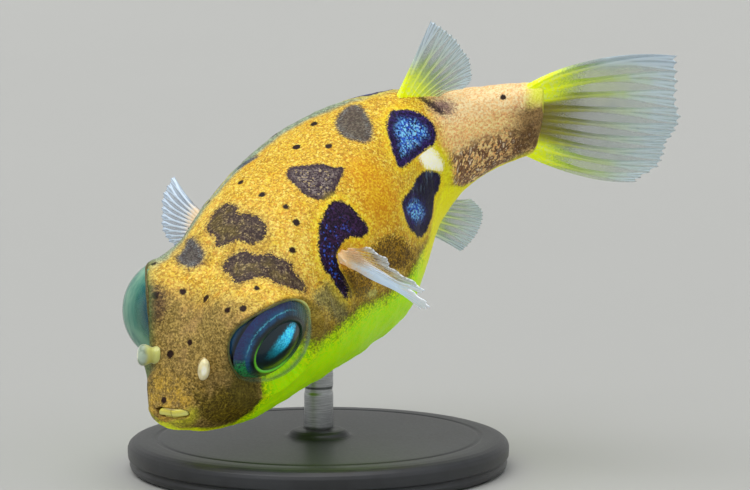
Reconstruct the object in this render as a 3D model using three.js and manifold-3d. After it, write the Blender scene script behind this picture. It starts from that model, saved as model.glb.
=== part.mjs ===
// A freshwater pufferfish as a still, life-size model: the fish dives to its left on a small display stand.
// Millimetres, +Z up, origin at the centre of the stand's underside, the fish's heading along -Y.
// The fish is modelled in its own frame (x forward, y to its left, z up, snout tip at zero) and then posed.
import * as THREE from "three";
import { mergeVertices } from "three/addons/utils/BufferGeometryUtils.js";
import Module from "manifold-3d";

const wasm = await Module();
wasm.setup();

// ---- Driving dimensions ----

// Cross-sections along the spine. at: distance behind the snout; half: half width;
// top and belly: reach above and below the spine.
const SECTIONS = [
  { at: 0.0, half: 0.93, top: 0.52, belly: 0.72 },
  { at: 1.2, half: 1.81, top: 1.34, belly: 1.85 },
  { at: 3.0, half: 2.78, top: 2.43, belly: 2.95 },
  { at: 5.0, half: 3.4, top: 3.4, belly: 3.6 },
  { at: 7.5, half: 4.02, top: 4.3, belly: 4.5 },
  { at: 10.0, half: 4.18, top: 4.48, belly: 5.55 },
  { at: 13.0, half: 4.22, top: 4.27, belly: 6.35 },
  { at: 16.0, half: 3.45, top: 3.95, belly: 5.15 },
  { at: 18.5, half: 2.35, top: 3.35, belly: 3.3 },
  { at: 21.0, half: 1.52, top: 2.25, belly: 2.25 },
  { at: 24.2, half: 0.9, top: 1.8, belly: 1.8 },
];
const SECTION_POWER = 2.3; // a little squarer than an ellipse
const SNOUT_ROUND = 0.22; // how far the rounded snout reaches in front of the first section
const SNOUT_ARC_DEG = 75; // how much of a quarter turn that rounding takes
const BODY_END = 24.2;
const END_LEAN = 0.33; // the tail root leans: its top edge lies behind its lower edge
const LEAN_FROM = 19.0;

const BEND_DEG = 64.8; // the body bends to its left by this much between the two stations
const BEND_FROM = 9.6;
const BEND_TO = 26.6;

const SNOUT_RINGS = 4;
const HEAD_RINGS = 26;
const REAR_RINGS = 20;
const BODY_COLUMNS = 42;
const FIRST_RING = 0.6; // how far from the snout's tip the first ring stands, in ring spacings
const SPINE_STEPS = 160; // straight steps that add up to the bent spine
const SEARCH_STEPS = 24; // halvings that find the skin along a ray
const SEARCH_REACH = 3; // how many times the section's own reach a ray is followed

const HEAD_END = 8.3; // thin cuts part the body here
const TRUNK_END = 20.7;
const CUT = 0.06;
const CLEARANCE = 0.05; // between neighbouring pieces

const EYE_RADIUS = 2.28;
const EYE_CENTRE = { at: 4.55, side: 2.12, up: 1.45 };
const EYE_AXIS = { forward: 0.31, side: 0.92, up: -0.24 };
const EYE_WINDOW_DEG = 65; // half angle of the part of the ball that the lids leave bare
const EYE_SIDES = 28;
const EYE_BLEND = 1.3; // width of the hollow where the brow runs from the eye into the forehead
const SOCKET_FLOOR = 0.4; // height of the socket's floor over the ball's centre

const NOSTRIL = { at: 1.87, side: 1.22, up: 1.42, forward: 0.35, out: 0.5, rise: 0.8 };
const NOSTRIL_RADIUS = 0.36;
const NOSTRIL_HEIGHT = 0.68;
const NOSTRIL_NECK = 0.85; // share of the radius left at the stalk
const NOSTRIL_SUNK = 0.12; // how deep the stalk stands in the head, and how high its neck reaches
const NOSTRIL_SIDES = 12;

const MOUTH = { at: 0.35, side: 0.15, up: 0.28, depth: 0.75, half: 0.92, height: 0.4 };
const MOUTH_FACETS = [24, 14];
const BEAK_BOW = 1.3; // radius of the plates' curve seen from above
const BEAK_SIDE = 0.2; // the plates sit a little left of the snout's middle
const BEAK_HALF = 0.6;
const BEAK_THICK = 0.25;
const BEAK_FRONT = 0.03;
const BEAK_FACETS = 10;
const UPPER_BEAK = { from: 0.25, to: 0.52 };
const LOWER_BEAK = { from: 0.02, to: 0.2 };

const FIN_THICK = 0.5;
const FIN_ACROSS = 10; // facets across the rays and along them
const FIN_ALONG = 6;
const FIN_SINK = 0.5; // how far a fin's root is drawn into the body before it is cut flush

// Midline fins: [distance behind the snout, height] of the root's two ends and of the outer margin.
const CAUDAL = {
  root: [[24.86, 1.9], [23.6, -1.9]],
  margin: [
    [31.3, 2.2], [31.1, 0.9], [30.85, -0.5], [30.6, -1.85], [30.0, -2.95], [29.3, -3.85], [28.4, -4.5],
  ],
  bulge: 0.7,
};
const DORSAL = {
  root: [[18.45, 3.6], [20.2, 2.5]],
  margin: [[20.8, 6.6], [21.35, 5.8], [21.8, 4.8], [22.05, 3.8], [21.95, 2.95], [21.4, 2.6]],
  bulge: -0.1,
};
const ANAL = {
  root: [[17.4, -3.9], [19.1, -2.9]],
  margin: [[19.3, -6.4], [20.0, -6.0], [20.6, -5.3], [20.85, -4.5], [20.4, -3.6]],
  bulge: 0.1,
};

// Pectoral fins: the two ends of the root as [distance behind the snout, side, up], upper end first,
// and each ray's reach from the middle of the root as [backward, outward, up].
const LEFT_ROOT = [[9.5, 3.72, 2.05], [9.05, 3.88, 1.4]];
const RIGHT_ROOT = [[9.6, 3.7, 2.2], [8.9, 3.95, 1.15]];
const RIGHT_RAYS = [
  [2.75, 3.45, 0.2], [2.3, 3.9, -0.4], [1.8, 3.95, -1.0], [1.25, 3.8, -1.5], [0.8, 3.3, -1.9],
  [0.4, 2.4, -1.85],
];
// The left fin fans out in a plane, from one direction towards a second one square to it.
const LEFT_FIRST = [-0.413, 0.565, 0.715];
const LEFT_SECOND = [0.108, 0.812, -0.579];
const LEFT_SWEEP_DEG = [8, 110];
const LEFT_LENGTH = 4.3;
const LEFT_RAY_COUNT = 9;

const PITCH_DEG = 35.8; // snout down
const ROLL_DEG = 8.4; // left side down
const PIVOT_AT = 10; // station on the spine that stays put when the fish is turned
const PIVOT = [-0.45, -1.35, 9.3]; // where that point is held; it puts the weight over the stand's centre

const BASE_RADIUS = 8.5;
const BASE_HEIGHT = 1.4;
const BASE_BEVEL = 0.3;
const BOSS_RADIUS = 1.3; // the raised seat that the rod stands on
const BOSS_HEIGHT = 0.3;
const STAND_SIDES = 44;
const ROD_RADIUS = 0.65;
const ROD_SIDES = 24;
const ROD_PLACE = [0, 0];
const ROD_REACH = 12; // drawn up into the belly, then cut to its skin

// ---- Materials ----

function material(colour, roughness, metalness = 0) {
  return new THREE.MeshStandardMaterial({ color: colour, roughness, metalness });
}
const skinGold = material(0xc79a2c, 0.45);
const finClear = material(0xb9cfc6, 0.35);
const finLime = material(0xc3c94a, 0.35);
const eyeTeal = material(0x123f52, 0.08);
const nostrilPale = material(0xe3dcae, 0.35);
const beakIvory = material(0xd8c860, 0.3);
const baseBlack = material(0x24272a, 0.4, 0.6);
const rodSteel = material(0xb4b8ba, 0.3, 1);

// ---- Curves of the body ----

// A smooth curve through the sections that never overshoots them (monotone cubic).
function sectionValue(key, at) {
  const last = SECTIONS.length - 2;
  let i = 0;
  while (i < last && at > SECTIONS[i + 1].at) i += 1;
  const rise = (k) => (SECTIONS[k + 1][key] - SECTIONS[k][key]) / (SECTIONS[k + 1].at - SECTIONS[k].at);
  const slope = (k) => {
    if (k === 0) return rise(0);
    if (k === SECTIONS.length - 1) return rise(k - 1);
    const before = rise(k - 1);
    const after = rise(k);
    return before * after <= 0 ? 0 : (2 * before * after) / (before + after);
  };
  const span = SECTIONS[i + 1].at - SECTIONS[i].at;
  const t = (at - SECTIONS[i].at) / span;
  const t2 = t * t;
  const t3 = t2 * t;
  return (
    (2 * t3 - 3 * t2 + 1) * SECTIONS[i][key] +
    (t3 - 2 * t2 + t) * span * slope(i) +
    (3 * t2 - 2 * t3) * SECTIONS[i + 1][key] +
    (t3 - t2) * span * slope(i + 1)
  );
}

// The spine's heading: it eases from straight ahead to the full bend.
function heading(at) {
  const t = THREE.MathUtils.smoothstep(at, BEND_FROM, BEND_TO);
  return THREE.MathUtils.degToRad(BEND_DEG) * t;
}

// A point given by its distance behind the snout, its offset to the left and its height.
function place(at, side, up) {
  const step = at / SPINE_STEPS;
  let x = 0;
  let y = 0;
  for (let i = 0; i < SPINE_STEPS; i += 1) {
    const turn = heading((i + 0.5) * step);
    x -= Math.cos(turn) * step;
    y += Math.sin(turn) * step;
  }
  const turn = heading(at);
  return new THREE.Vector3(x + side * Math.sin(turn), y + side * Math.cos(turn), up);
}

// Joins two distances like a minimum, rounded off over a width.
function softMin(a, b, width) {
  const near = Math.max(width - Math.abs(a - b), 0) / width;
  return Math.min(a, b) - (near * near * width) / 4;
}

// How far a point lies outside the body, whose skin runs smoothly from the trunk over both eyeballs.
// It is exact on the skin and a fair guess near it.
function outside(at, side, up, half, top, belly) {
  const rise = up >= 0 ? top : belly;
  const sum = (Math.abs(side) / half) ** SECTION_POWER + (Math.abs(up) / rise) ** SECTION_POWER;
  const trunkGap = Math.hypot(side, up) * (1 - sum ** (-1 / SECTION_POWER));
  const toEye = Math.hypot(at - EYE_CENTRE.at, Math.abs(side) - EYE_CENTRE.side, up - EYE_CENTRE.up);
  return softMin(trunkGap, toEye - EYE_RADIUS, EYE_BLEND);
}

// One ring of the body, scaled about its middle, with every reach grown by a clearance.
function bodyRing(at, scale, grow, forward = 0) {
  const half = sectionValue("half", at) * scale;
  const top = sectionValue("top", at) * scale;
  const belly = sectionValue("belly", at) * scale;
  const lean = END_LEAN * THREE.MathUtils.smoothstep(at, LEAN_FROM, BODY_END);
  const ring = [];
  for (let j = 0; j < BODY_COLUMNS; j += 1) {
    const angle = (2 * Math.PI * j) / BODY_COLUMNS;
    const c = Math.cos(angle);
    const s = Math.sin(angle);
    const side = half * Math.sign(c) * Math.abs(c) ** (2 / SECTION_POWER);
    const up = (s >= 0 ? top : belly) * Math.sign(s) * Math.abs(s) ** (2 / SECTION_POWER);
    let inner = 1;
    let outer = SEARCH_REACH;
    for (let k = 0; k < SEARCH_STEPS; k += 1) {
      const middle = (inner + outer) / 2;
      if (outside(at, side * middle, up * middle, half, top, belly) < 0) inner = middle;
      else outer = middle;
    }
    const reach = inner + grow / Math.hypot(side, up);
    const point = place(at + lean * up, side * reach, up * reach);
    point.x += forward;
    ring.push(point);
  }
  return ring;
}

// ---- Solids ----

function geometryFrom(points, faces) {
  const geometry = new THREE.BufferGeometry().setFromPoints(points);
  geometry.setIndex(faces);
  return geometry;
}

// Closed skin over a row of rings, with a fan of triangles at each end.
function loft(rings) {
  const points = rings.flat();
  const count = rings[0].length;
  const faces = [];
  for (let i = 0; i < rings.length - 1; i += 1) {
    for (let j = 0; j < count; j += 1) {
      const a = i * count + j;
      const b = i * count + ((j + 1) % count);
      faces.push(a, b, b + count, a, b + count, a + count);
    }
  }
  const middle = (ring) => ring.reduce((sum, p) => sum.add(p), new THREE.Vector3()).divideScalar(count);
  const front = points.push(middle(rings[0])) - 1;
  const back = points.push(middle(rings.at(-1))) - 1;
  const lastRing = (rings.length - 1) * count;
  for (let j = 0; j < count; j += 1) {
    const next = (j + 1) % count;
    faces.push(front, next, j);
    faces.push(back, lastRing + j, lastRing + next);
  }
  return geometryFrom(points, faces);
}

// A sheet of even thickness over the grid of points that at(u, v) gives.
function sheet(at, across, along, thickness) {
  const points = [];
  const small = 1e-3;
  for (const face of [0.5, -0.5]) {
    for (let i = 0; i <= across; i += 1) {
      for (let j = 0; j <= along; j += 1) {
        const u = THREE.MathUtils.clamp(i / across, small, 1 - small);
        const v = THREE.MathUtils.clamp(j / along, small, 1 - small);
        const du = at(u + small, v).sub(at(u - small, v));
        const dv = at(u, v + small).sub(at(u, v - small));
        const normal = du.cross(dv).normalize();
        points.push(at(i / across, j / along).addScaledVector(normal, face * thickness));
      }
    }
  }
  const layer = (across + 1) * (along + 1);
  const id = (i, j, k) => k * layer + i * (along + 1) + j;
  const faces = [];
  const quad = (a, b, c, d) => faces.push(a, b, c, a, c, d);
  for (let i = 0; i < across; i += 1) {
    for (let j = 0; j < along; j += 1) {
      quad(id(i, j, 0), id(i + 1, j, 0), id(i + 1, j + 1, 0), id(i, j + 1, 0));
      quad(id(i, j, 1), id(i, j + 1, 1), id(i + 1, j + 1, 1), id(i + 1, j, 1));
    }
  }
  for (let i = 0; i < across; i += 1) {
    quad(id(i, 0, 0), id(i, 0, 1), id(i + 1, 0, 1), id(i + 1, 0, 0));
    quad(id(i, along, 0), id(i + 1, along, 0), id(i + 1, along, 1), id(i, along, 1));
  }
  for (let j = 0; j < along; j += 1) {
    quad(id(0, j, 0), id(0, j + 1, 0), id(0, j + 1, 1), id(0, j, 1));
    quad(id(across, j, 0), id(across, j, 1), id(across, j + 1, 1), id(across, j + 1, 0));
  }
  return geometryFrom(points, faces);
}

// A closed geometry as a manifold solid. A mesh that faces inwards is turned round.
function solid(geometry) {
  const bare = geometry.index ? geometry.toNonIndexed() : geometry.clone();
  bare.deleteAttribute("normal");
  bare.deleteAttribute("uv");
  const merged = mergeVertices(bare, 1e-4);
  const triVerts = new Uint32Array(merged.index.array);
  const vertProperties = merged.attributes.position.array;
  const made = new wasm.Manifold(new wasm.Mesh({ numProp: 3, vertProperties, triVerts }));
  if (made.volume() > 0) return made;
  for (let i = 0; i < triVerts.length; i += 3) {
    [triVerts[i + 1], triVerts[i + 2]] = [triVerts[i + 2], triVerts[i + 1]];
  }
  return new wasm.Manifold(new wasm.Mesh({ numProp: 3, vertProperties, triVerts }));
}

function geometryOf(made) {
  const { vertProperties, triVerts } = made.getMesh();
  const geometry = new THREE.BufferGeometry();
  geometry.setAttribute("position", new THREE.BufferAttribute(vertProperties, 3));
  geometry.setIndex(new THREE.BufferAttribute(triVerts, 1));
  geometry.computeVertexNormals();
  return geometry;
}

// Turns a geometry made along +Y to point along a direction, and moves it to a place.
function aim(geometry, direction, position) {
  const turn = new THREE.Quaternion().setFromUnitVectors(new THREE.Vector3(0, 1, 0), direction);
  return geometry.applyQuaternion(turn).translate(position.x, position.y, position.z);
}

// ---- Pieces of the fish ----

// side is 1 for the left eye and -1 for the right one.
function eyeFrame(side) {
  const centre = place(EYE_CENTRE.at, side * EYE_CENTRE.side, EYE_CENTRE.up);
  const axis = new THREE.Vector3(EYE_AXIS.forward, side * EYE_AXIS.side, EYE_AXIS.up).normalize();
  return { centre, axis };
}

function eyeball(side) {
  const { centre, axis } = eyeFrame(side);
  const window = THREE.MathUtils.degToRad(EYE_WINDOW_DEG);
  const rim = EYE_RADIUS * Math.sin(window);
  const floor = SOCKET_FLOOR + CLEARANCE;
  const profile = [new THREE.Vector2(0, floor), new THREE.Vector2(rim, floor)];
  const steps = 6;
  for (let i = 0; i <= steps; i += 1) {
    const angle = window * (1 - i / steps);
    profile.push(new THREE.Vector2(EYE_RADIUS * Math.sin(angle), EYE_RADIUS * Math.cos(angle)));
  }
  profile.at(-1).x = 0;
  return aim(new THREE.LatheGeometry(profile, EYE_SIDES), axis, centre);
}

function socket(side) {
  const { centre, axis } = eyeFrame(side);
  const rim = EYE_RADIUS * Math.sin(THREE.MathUtils.degToRad(EYE_WINDOW_DEG)) + CLEARANCE;
  const height = EYE_RADIUS;
  const cutter = new THREE.CylinderGeometry(rim, rim, height, EYE_SIDES);
  return solid(aim(cutter.translate(0, SOCKET_FLOOR + height / 2, 0), axis, centre));
}

// A short blunt tube with a rounded, slightly swollen tip.
function nostril(side, grow) {
  const radius = NOSTRIL_RADIUS + grow;
  const sunk = -NOSTRIL_SUNK - grow;
  const neck = NOSTRIL_NECK * radius;
  const profile = [new THREE.Vector2(0, sunk), new THREE.Vector2(neck, sunk)];
  profile.push(new THREE.Vector2(neck, NOSTRIL_SUNK));
  const steps = 4;
  for (let i = 0; i <= steps; i += 1) {
    const angle = (Math.PI / 2) * (i / steps);
    const up = NOSTRIL_HEIGHT + grow - radius + radius * Math.sin(angle);
    profile.push(new THREE.Vector2(radius * Math.cos(angle), up));
  }
  profile.at(-1).x = 0;
  const axis = new THREE.Vector3(NOSTRIL.forward, side * NOSTRIL.out, NOSTRIL.rise).normalize();
  const foot = place(NOSTRIL.at, side * NOSTRIL.side, NOSTRIL.up);
  return aim(new THREE.LatheGeometry(profile, NOSTRIL_SIDES), axis, foot);
}

function mouthHollow() {
  const hollow = new THREE.SphereGeometry(1, ...MOUTH_FACETS);
  hollow.scale(MOUTH.depth, MOUTH.half, MOUTH.height);
  return solid(hollow.translate(-MOUTH.at, MOUTH.side, MOUTH.up));
}

// One fused tooth plate, bowed across the mouth, given by the heights of its two edges.
function beak({ from, to }) {
  const spread = Math.asin(BEAK_HALF / BEAK_BOW);
  const outline = new THREE.Shape();
  outline.absarc(0, 0, BEAK_BOW, -spread, spread, false);
  outline.absarc(0, 0, BEAK_BOW - BEAK_THICK, spread, -spread, true);
  const options = { depth: to - from, bevelEnabled: false, curveSegments: BEAK_FACETS };
  const plate = new THREE.ExtrudeGeometry(outline, options);
  return plate.translate(-BEAK_FRONT - BEAK_BOW, BEAK_SIDE, from);
}

function wholeBody(grow) {
  const rings = [];
  const arc = THREE.MathUtils.degToRad(SNOUT_ARC_DEG);
  for (let i = 0; i < SNOUT_RINGS; i += 1) {
    const angle = (arc * (i + FIRST_RING)) / (SNOUT_RINGS + FIRST_RING);
    const forward = (SNOUT_ROUND * (Math.cos(angle) - Math.cos(arc))) / (1 - Math.cos(arc));
    rings.push(bodyRing(0, Math.sin(angle) / Math.sin(arc), grow, forward));
  }
  for (let i = 0; i < HEAD_RINGS; i += 1) rings.push(bodyRing((HEAD_END * i) / HEAD_RINGS, 1, grow));
  for (let i = 0; i <= REAR_RINGS; i += 1) {
    rings.push(bodyRing(HEAD_END + ((BODY_END - HEAD_END) * i) / REAR_RINGS, 1, grow));
  }
  return solid(loft(rings));
}

// A large block that holds everything ahead of a station, square to the spine there.
function aheadOf(at) {
  const size = 60;
  const block = new THREE.BoxGeometry(size, size, size).translate(size / 2, 0, 0);
  const middle = place(at, 0, 0);
  return solid(block.rotateZ(-heading(at)).translate(middle.x, middle.y, middle.z));
}

// A fin on the midline. Its rays run from the root to the margin, and bulge outwards on the way.
function midlineFin({ root, margin, bulge }) {
  const edge = new THREE.SplineCurve(margin.map(([at, up]) => new THREE.Vector2(at, up)));
  const from = new THREE.Vector2(...root[0]);
  const to = new THREE.Vector2(...root[1]);
  const surface = (u, v) => {
    const foot = from.clone().lerp(to, u);
    const tip = edge.getPoint(u);
    const sunk = foot.clone().addScaledVector(tip.clone().sub(foot).normalize(), -FIN_SINK);
    const point = sunk.lerp(tip, v);
    const swell = bulge * 4 * v * (1 - v) * (1 - 2 * u);
    return place(point.x, 0, point.y + swell);
  };
  return sheet(surface, FIN_ACROSS, FIN_ALONG, FIN_THICK);
}

// The left fin's rays, evenly spaced over its sweep.
function leftRays() {
  const first = new THREE.Vector3(...LEFT_FIRST).multiplyScalar(LEFT_LENGTH);
  const second = new THREE.Vector3(...LEFT_SECOND).multiplyScalar(LEFT_LENGTH);
  return Array.from({ length: LEFT_RAY_COUNT }, (_, i) => {
    const degrees = THREE.MathUtils.lerp(...LEFT_SWEEP_DEG, i / (LEFT_RAY_COUNT - 1));
    const turn = THREE.MathUtils.degToRad(degrees);
    const ray = first.clone().multiplyScalar(Math.cos(turn)).addScaledVector(second, Math.sin(turn));
    return ray.toArray();
  });
}

function pectoralFin(root, rays, side) {
  const ends = root.map(([at, out, up]) => place(at, side * out, up));
  const middle = ends[0].clone().lerp(ends[1], 0.5);
  const tips = rays.map(([back, out, up]) => middle.clone().add(new THREE.Vector3(-back, side * out, up)));
  const edge = new THREE.CatmullRomCurve3(tips);
  const surface = (u, v) => {
    const foot = ends[0].clone().lerp(ends[1], u);
    const tip = edge.getPoint(u);
    const sunk = foot.clone().addScaledVector(tip.clone().sub(foot).normalize(), -FIN_SINK);
    return sunk.lerp(tip, v);
  };
  return sheet(surface, FIN_ACROSS, FIN_ALONG, FIN_THICK);
}

// ---- Build ----

const group = new THREE.Group();
const fish = new THREE.Group();
const pitch = THREE.MathUtils.degToRad(PITCH_DEG);
const roll = THREE.MathUtils.degToRad(ROLL_DEG);
const turnPitch = new THREE.Quaternion().setFromAxisAngle(new THREE.Vector3(1, 0, 0), pitch);
const turnHeading = new THREE.Quaternion().setFromAxisAngle(new THREE.Vector3(0, 0, 1), -Math.PI / 2);
const turnRoll = new THREE.Quaternion().setFromAxisAngle(new THREE.Vector3(1, 0, 0), -roll);
fish.quaternion.copy(turnPitch).multiply(turnHeading).multiply(turnRoll);
const pivot = place(PIVOT_AT, 0, 0).applyQuaternion(fish.quaternion);
fish.position.set(...PIVOT).sub(pivot);
fish.updateMatrixWorld();
group.add(fish);

function addMesh(parent, name, geometry, finish) {
  const mesh = new THREE.Mesh(geometry, finish);
  mesh.name = name;
  parent.add(mesh);
}

const body = wholeBody(0);
const grownBody = wholeBody(CLEARANCE);
const sockets = socket(1).add(socket(-1));
const nostrilHoles = solid(nostril(1, CLEARANCE)).add(solid(nostril(-1, CLEARANCE)));
const cutBody = body.subtract(sockets).subtract(nostrilHoles).subtract(mouthHollow());

const head = cutBody.intersect(aheadOf(HEAD_END - CUT / 2));
const trunk = cutBody.subtract(aheadOf(HEAD_END + CUT / 2)).intersect(aheadOf(TRUNK_END - CUT / 2));
const tail = cutBody.subtract(aheadOf(TRUNK_END + CUT / 2));
addMesh(fish, "head", geometryOf(head), skinGold);
addMesh(fish, "trunk", geometryOf(trunk), skinGold);
addMesh(fish, "tail", geometryOf(tail), skinGold);

const sides = [["left", 1, LEFT_ROOT, leftRays()], ["right", -1, RIGHT_ROOT, RIGHT_RAYS]];
for (const [label, side, root, rays] of sides) {
  addMesh(fish, `eye_${label}`, eyeball(side), eyeTeal);
  addMesh(fish, `nostril_${label}`, nostril(side, 0), nostrilPale);
  const fin = solid(pectoralFin(root, rays, side)).subtract(grownBody);
  addMesh(fish, `pectoral_fin_${label}`, geometryOf(fin), finClear);
}

addMesh(fish, "upper_beak", beak(UPPER_BEAK), beakIvory);
addMesh(fish, "lower_beak", beak(LOWER_BEAK), beakIvory);

const midlineFins = [["caudal_fin", CAUDAL], ["dorsal_fin", DORSAL], ["anal_fin", ANAL]];
for (const [name, shape] of midlineFins) {
  const fin = solid(midlineFin(shape)).subtract(grownBody);
  addMesh(fish, name, geometryOf(fin), finLime);
}

const baseProfile = [
  [0, 0],
  [BASE_RADIUS - BASE_BEVEL / 2, 0],
  [BASE_RADIUS, BASE_BEVEL / 2],
  [BASE_RADIUS, BASE_HEIGHT - BASE_BEVEL],
  [BASE_RADIUS - BASE_BEVEL, BASE_HEIGHT],
  [BOSS_RADIUS, BASE_HEIGHT],
  [BOSS_RADIUS, BASE_HEIGHT + BOSS_HEIGHT],
  [0, BASE_HEIGHT + BOSS_HEIGHT],
].map(([x, y]) => new THREE.Vector2(x, y));
const base = new THREE.LatheGeometry(baseProfile, STAND_SIDES).rotateX(Math.PI / 2);
addMesh(group, "stand_base", base, baseBlack);

const rodFoot = BASE_HEIGHT + BOSS_HEIGHT + CLEARANCE;
const rodBlank = new THREE.CylinderGeometry(ROD_RADIUS, ROD_RADIUS, ROD_REACH, ROD_SIDES);
rodBlank.rotateX(Math.PI / 2).translate(...ROD_PLACE, rodFoot + ROD_REACH / 2);
const posedBody = solid(geometryOf(grownBody).applyMatrix4(fish.matrixWorld));
addMesh(group, "stand_rod", geometryOf(solid(rodBlank).subtract(posedBody)), rodSteel);

export default group;
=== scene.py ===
"""A freshwater pufferfish on a small display stand, built as one skin with eyes, fins and beak.

The fish is worked out in its own frame in millimetres (x forward, y to its left, z up, snout tip at
zero), and every finished piece is then posed and put into metres by to_stand().
"""
import math

import bpy
import mathutils
import numpy as np
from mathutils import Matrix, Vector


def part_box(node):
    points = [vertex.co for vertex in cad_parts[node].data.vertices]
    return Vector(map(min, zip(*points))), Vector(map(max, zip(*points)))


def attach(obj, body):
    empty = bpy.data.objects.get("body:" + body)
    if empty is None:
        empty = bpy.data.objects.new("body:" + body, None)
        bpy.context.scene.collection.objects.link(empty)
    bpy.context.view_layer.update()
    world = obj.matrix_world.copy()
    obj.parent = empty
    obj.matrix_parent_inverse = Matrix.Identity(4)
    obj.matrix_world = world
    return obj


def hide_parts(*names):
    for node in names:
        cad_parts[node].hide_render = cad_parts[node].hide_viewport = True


bl_info = {
    "name": "Pufferfish on a stand",
    "version": (1, 0, 0),
    "blender": (4, 5, 0),
    "location": "3D View > Sidebar > Pufferfish",
    "description": "Builds a life-size freshwater pufferfish with its display stand and studio",
    "category": "Add Mesh",
}

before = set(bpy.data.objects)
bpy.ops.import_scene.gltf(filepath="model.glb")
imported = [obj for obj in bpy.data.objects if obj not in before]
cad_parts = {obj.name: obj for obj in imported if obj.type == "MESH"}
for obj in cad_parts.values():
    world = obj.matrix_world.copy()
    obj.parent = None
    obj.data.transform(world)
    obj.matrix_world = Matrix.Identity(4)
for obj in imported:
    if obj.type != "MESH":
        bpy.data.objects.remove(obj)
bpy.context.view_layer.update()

# ---- Sizes of the fish, in millimetres ----

# Distance behind the snout, half width, reach above the spine, reach below it.
SECTIONS = np.array([
    (0.0, 0.93, 0.52, 0.72),
    (1.2, 1.81, 1.34, 1.85),
    (3.0, 2.78, 2.43, 2.95),
    (5.0, 3.40, 3.40, 3.60),
    (7.5, 4.02, 4.30, 4.50),
    (10.0, 4.18, 4.48, 5.55),
    (13.0, 4.22, 4.27, 6.35),
    (16.0, 3.45, 3.95, 5.15),
    (18.5, 2.35, 3.35, 3.30),
    (21.0, 1.52, 2.25, 2.25),
    (24.2, 0.90, 1.80, 1.80),
])
HALF, TOP, BELLY = 1, 2, 3
SECTION_POWER = 2.3
BODY_END = 24.2
END_LEAN = 0.33
LEAN_FROM = 19.0
BEND = math.radians(64.8)
BEND_FROM, BEND_TO = 9.6, 26.6

EYE_RADIUS = 2.28
EYE_CENTRE = np.array([-4.55, 2.12, 1.45])
EYE_AXIS = np.array([0.31, 0.92, -0.24])
EYE_BLEND = 1.3

# The pose: snout down, rolled to its left, heading along -Y, held over the stand's centre.
PITCH, ROLL = math.radians(35.8), math.radians(8.4)
PIVOT_AT = 10.0
PIVOT = np.array([-0.45, -1.35, 9.3])

MM = 0.001
UPRIGHT = np.array([0.0, 0.0, 1.0])


# ---- Body form ----

def smooth_step(x, low, high):
    """0 below low, 1 above high, and an S-shaped cubic between them."""
    t = np.clip((x - low) / (high - low), 0.0, 1.0)
    return t * t * (3.0 - 2.0 * t)


def hump(x, middle, width):
    """A bell curve of height 1 at the middle, falling to 1/e at a width's distance."""
    return np.exp(-(((x - middle) / width) ** 2))


def section(at, column):
    """One column of SECTIONS at any station, by a monotone cubic: inner slopes are the harmonic mean
    of the slopes on both sides, and end slopes are those of the end spans."""
    x, y = SECTIONS[:, 0], SECTIONS[:, column]
    rise = np.diff(y) / np.diff(x)
    before, after = rise[:-1], rise[1:]
    total = np.where(before + after == 0.0, 1.0, before + after)
    inner = np.where(before * after <= 0.0, 0.0, 2.0 * before * after / total)
    slope = np.concatenate([rise[:1], inner, rise[-1:]])
    i = np.clip(np.searchsorted(x, at) - 1, 0, len(x) - 2)
    span = x[i + 1] - x[i]
    t = (at - x[i]) / span
    t2, t3 = t * t, t * t * t
    return ((2 * t3 - 3 * t2 + 1) * y[i] + (t3 - 2 * t2 + t) * span * slope[i]
            + (3 * t2 - 2 * t3) * y[i + 1] + (t3 - t2) * span * slope[i + 1])


def reaches(at):
    """Half width, reach above and reach below the spine at a station."""
    return [section(at, column) for column in (HALF, TOP, BELLY)]


def fullness(side, up, half, top, belly):
    """1 on a section's edge, less inside it: the powers of both shares of the reach, added up."""
    reach = np.where(up >= 0, top, belly)
    return (np.abs(side) / half) ** SECTION_POWER + (np.abs(up) / reach) ** SECTION_POWER


def heading(at):
    """How far the spine has turned to the left at a station, in radians: an S curve along the body."""
    return BEND * smooth_step(at, BEND_FROM, BEND_TO)


SPINE_AT = np.linspace(-2.0, 40.0, 4201)


def spine_line():
    """The spine's x and y at SPINE_AT: the running sum of short steps along the heading."""
    step = SPINE_AT[1] - SPINE_AT[0]
    turn = heading((SPINE_AT[1:] + SPINE_AT[:-1]) / 2.0)
    x = np.concatenate([[0.0], -np.cumsum(np.cos(turn) * step)])
    y = np.concatenate([[0.0], np.cumsum(np.sin(turn) * step)])
    return x - np.interp(0.0, SPINE_AT, x), y - np.interp(0.0, SPINE_AT, y)


SPINE_X, SPINE_Y = spine_line()


def place(at, side, up):
    """The point at a station of the spine, moved to the left by side, square to the spine, and up."""
    at, side, up = np.broadcast_arrays(np.asarray(at, float), side, up)
    turn = heading(at)
    x = np.interp(at, SPINE_AT, SPINE_X) + side * np.sin(turn)
    y = np.interp(at, SPINE_AT, SPINE_Y) + side * np.cos(turn)
    return np.stack([x, y, up], axis=-1)


def oval(angle, half, top, belly, power=SECTION_POWER):
    """Side and height on a section at an angle, 0 to the left and a quarter turn at the back's ridge:
    each is the reach times the cosine or sine raised to 2 / power."""
    c, s = np.cos(angle), np.sin(angle)
    side = half * np.sign(c) * np.abs(c) ** (2.0 / power)
    up = np.where(s >= 0, top, belly) * np.sign(s) * np.abs(s) ** (2.0 / power)
    return side, up


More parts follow.
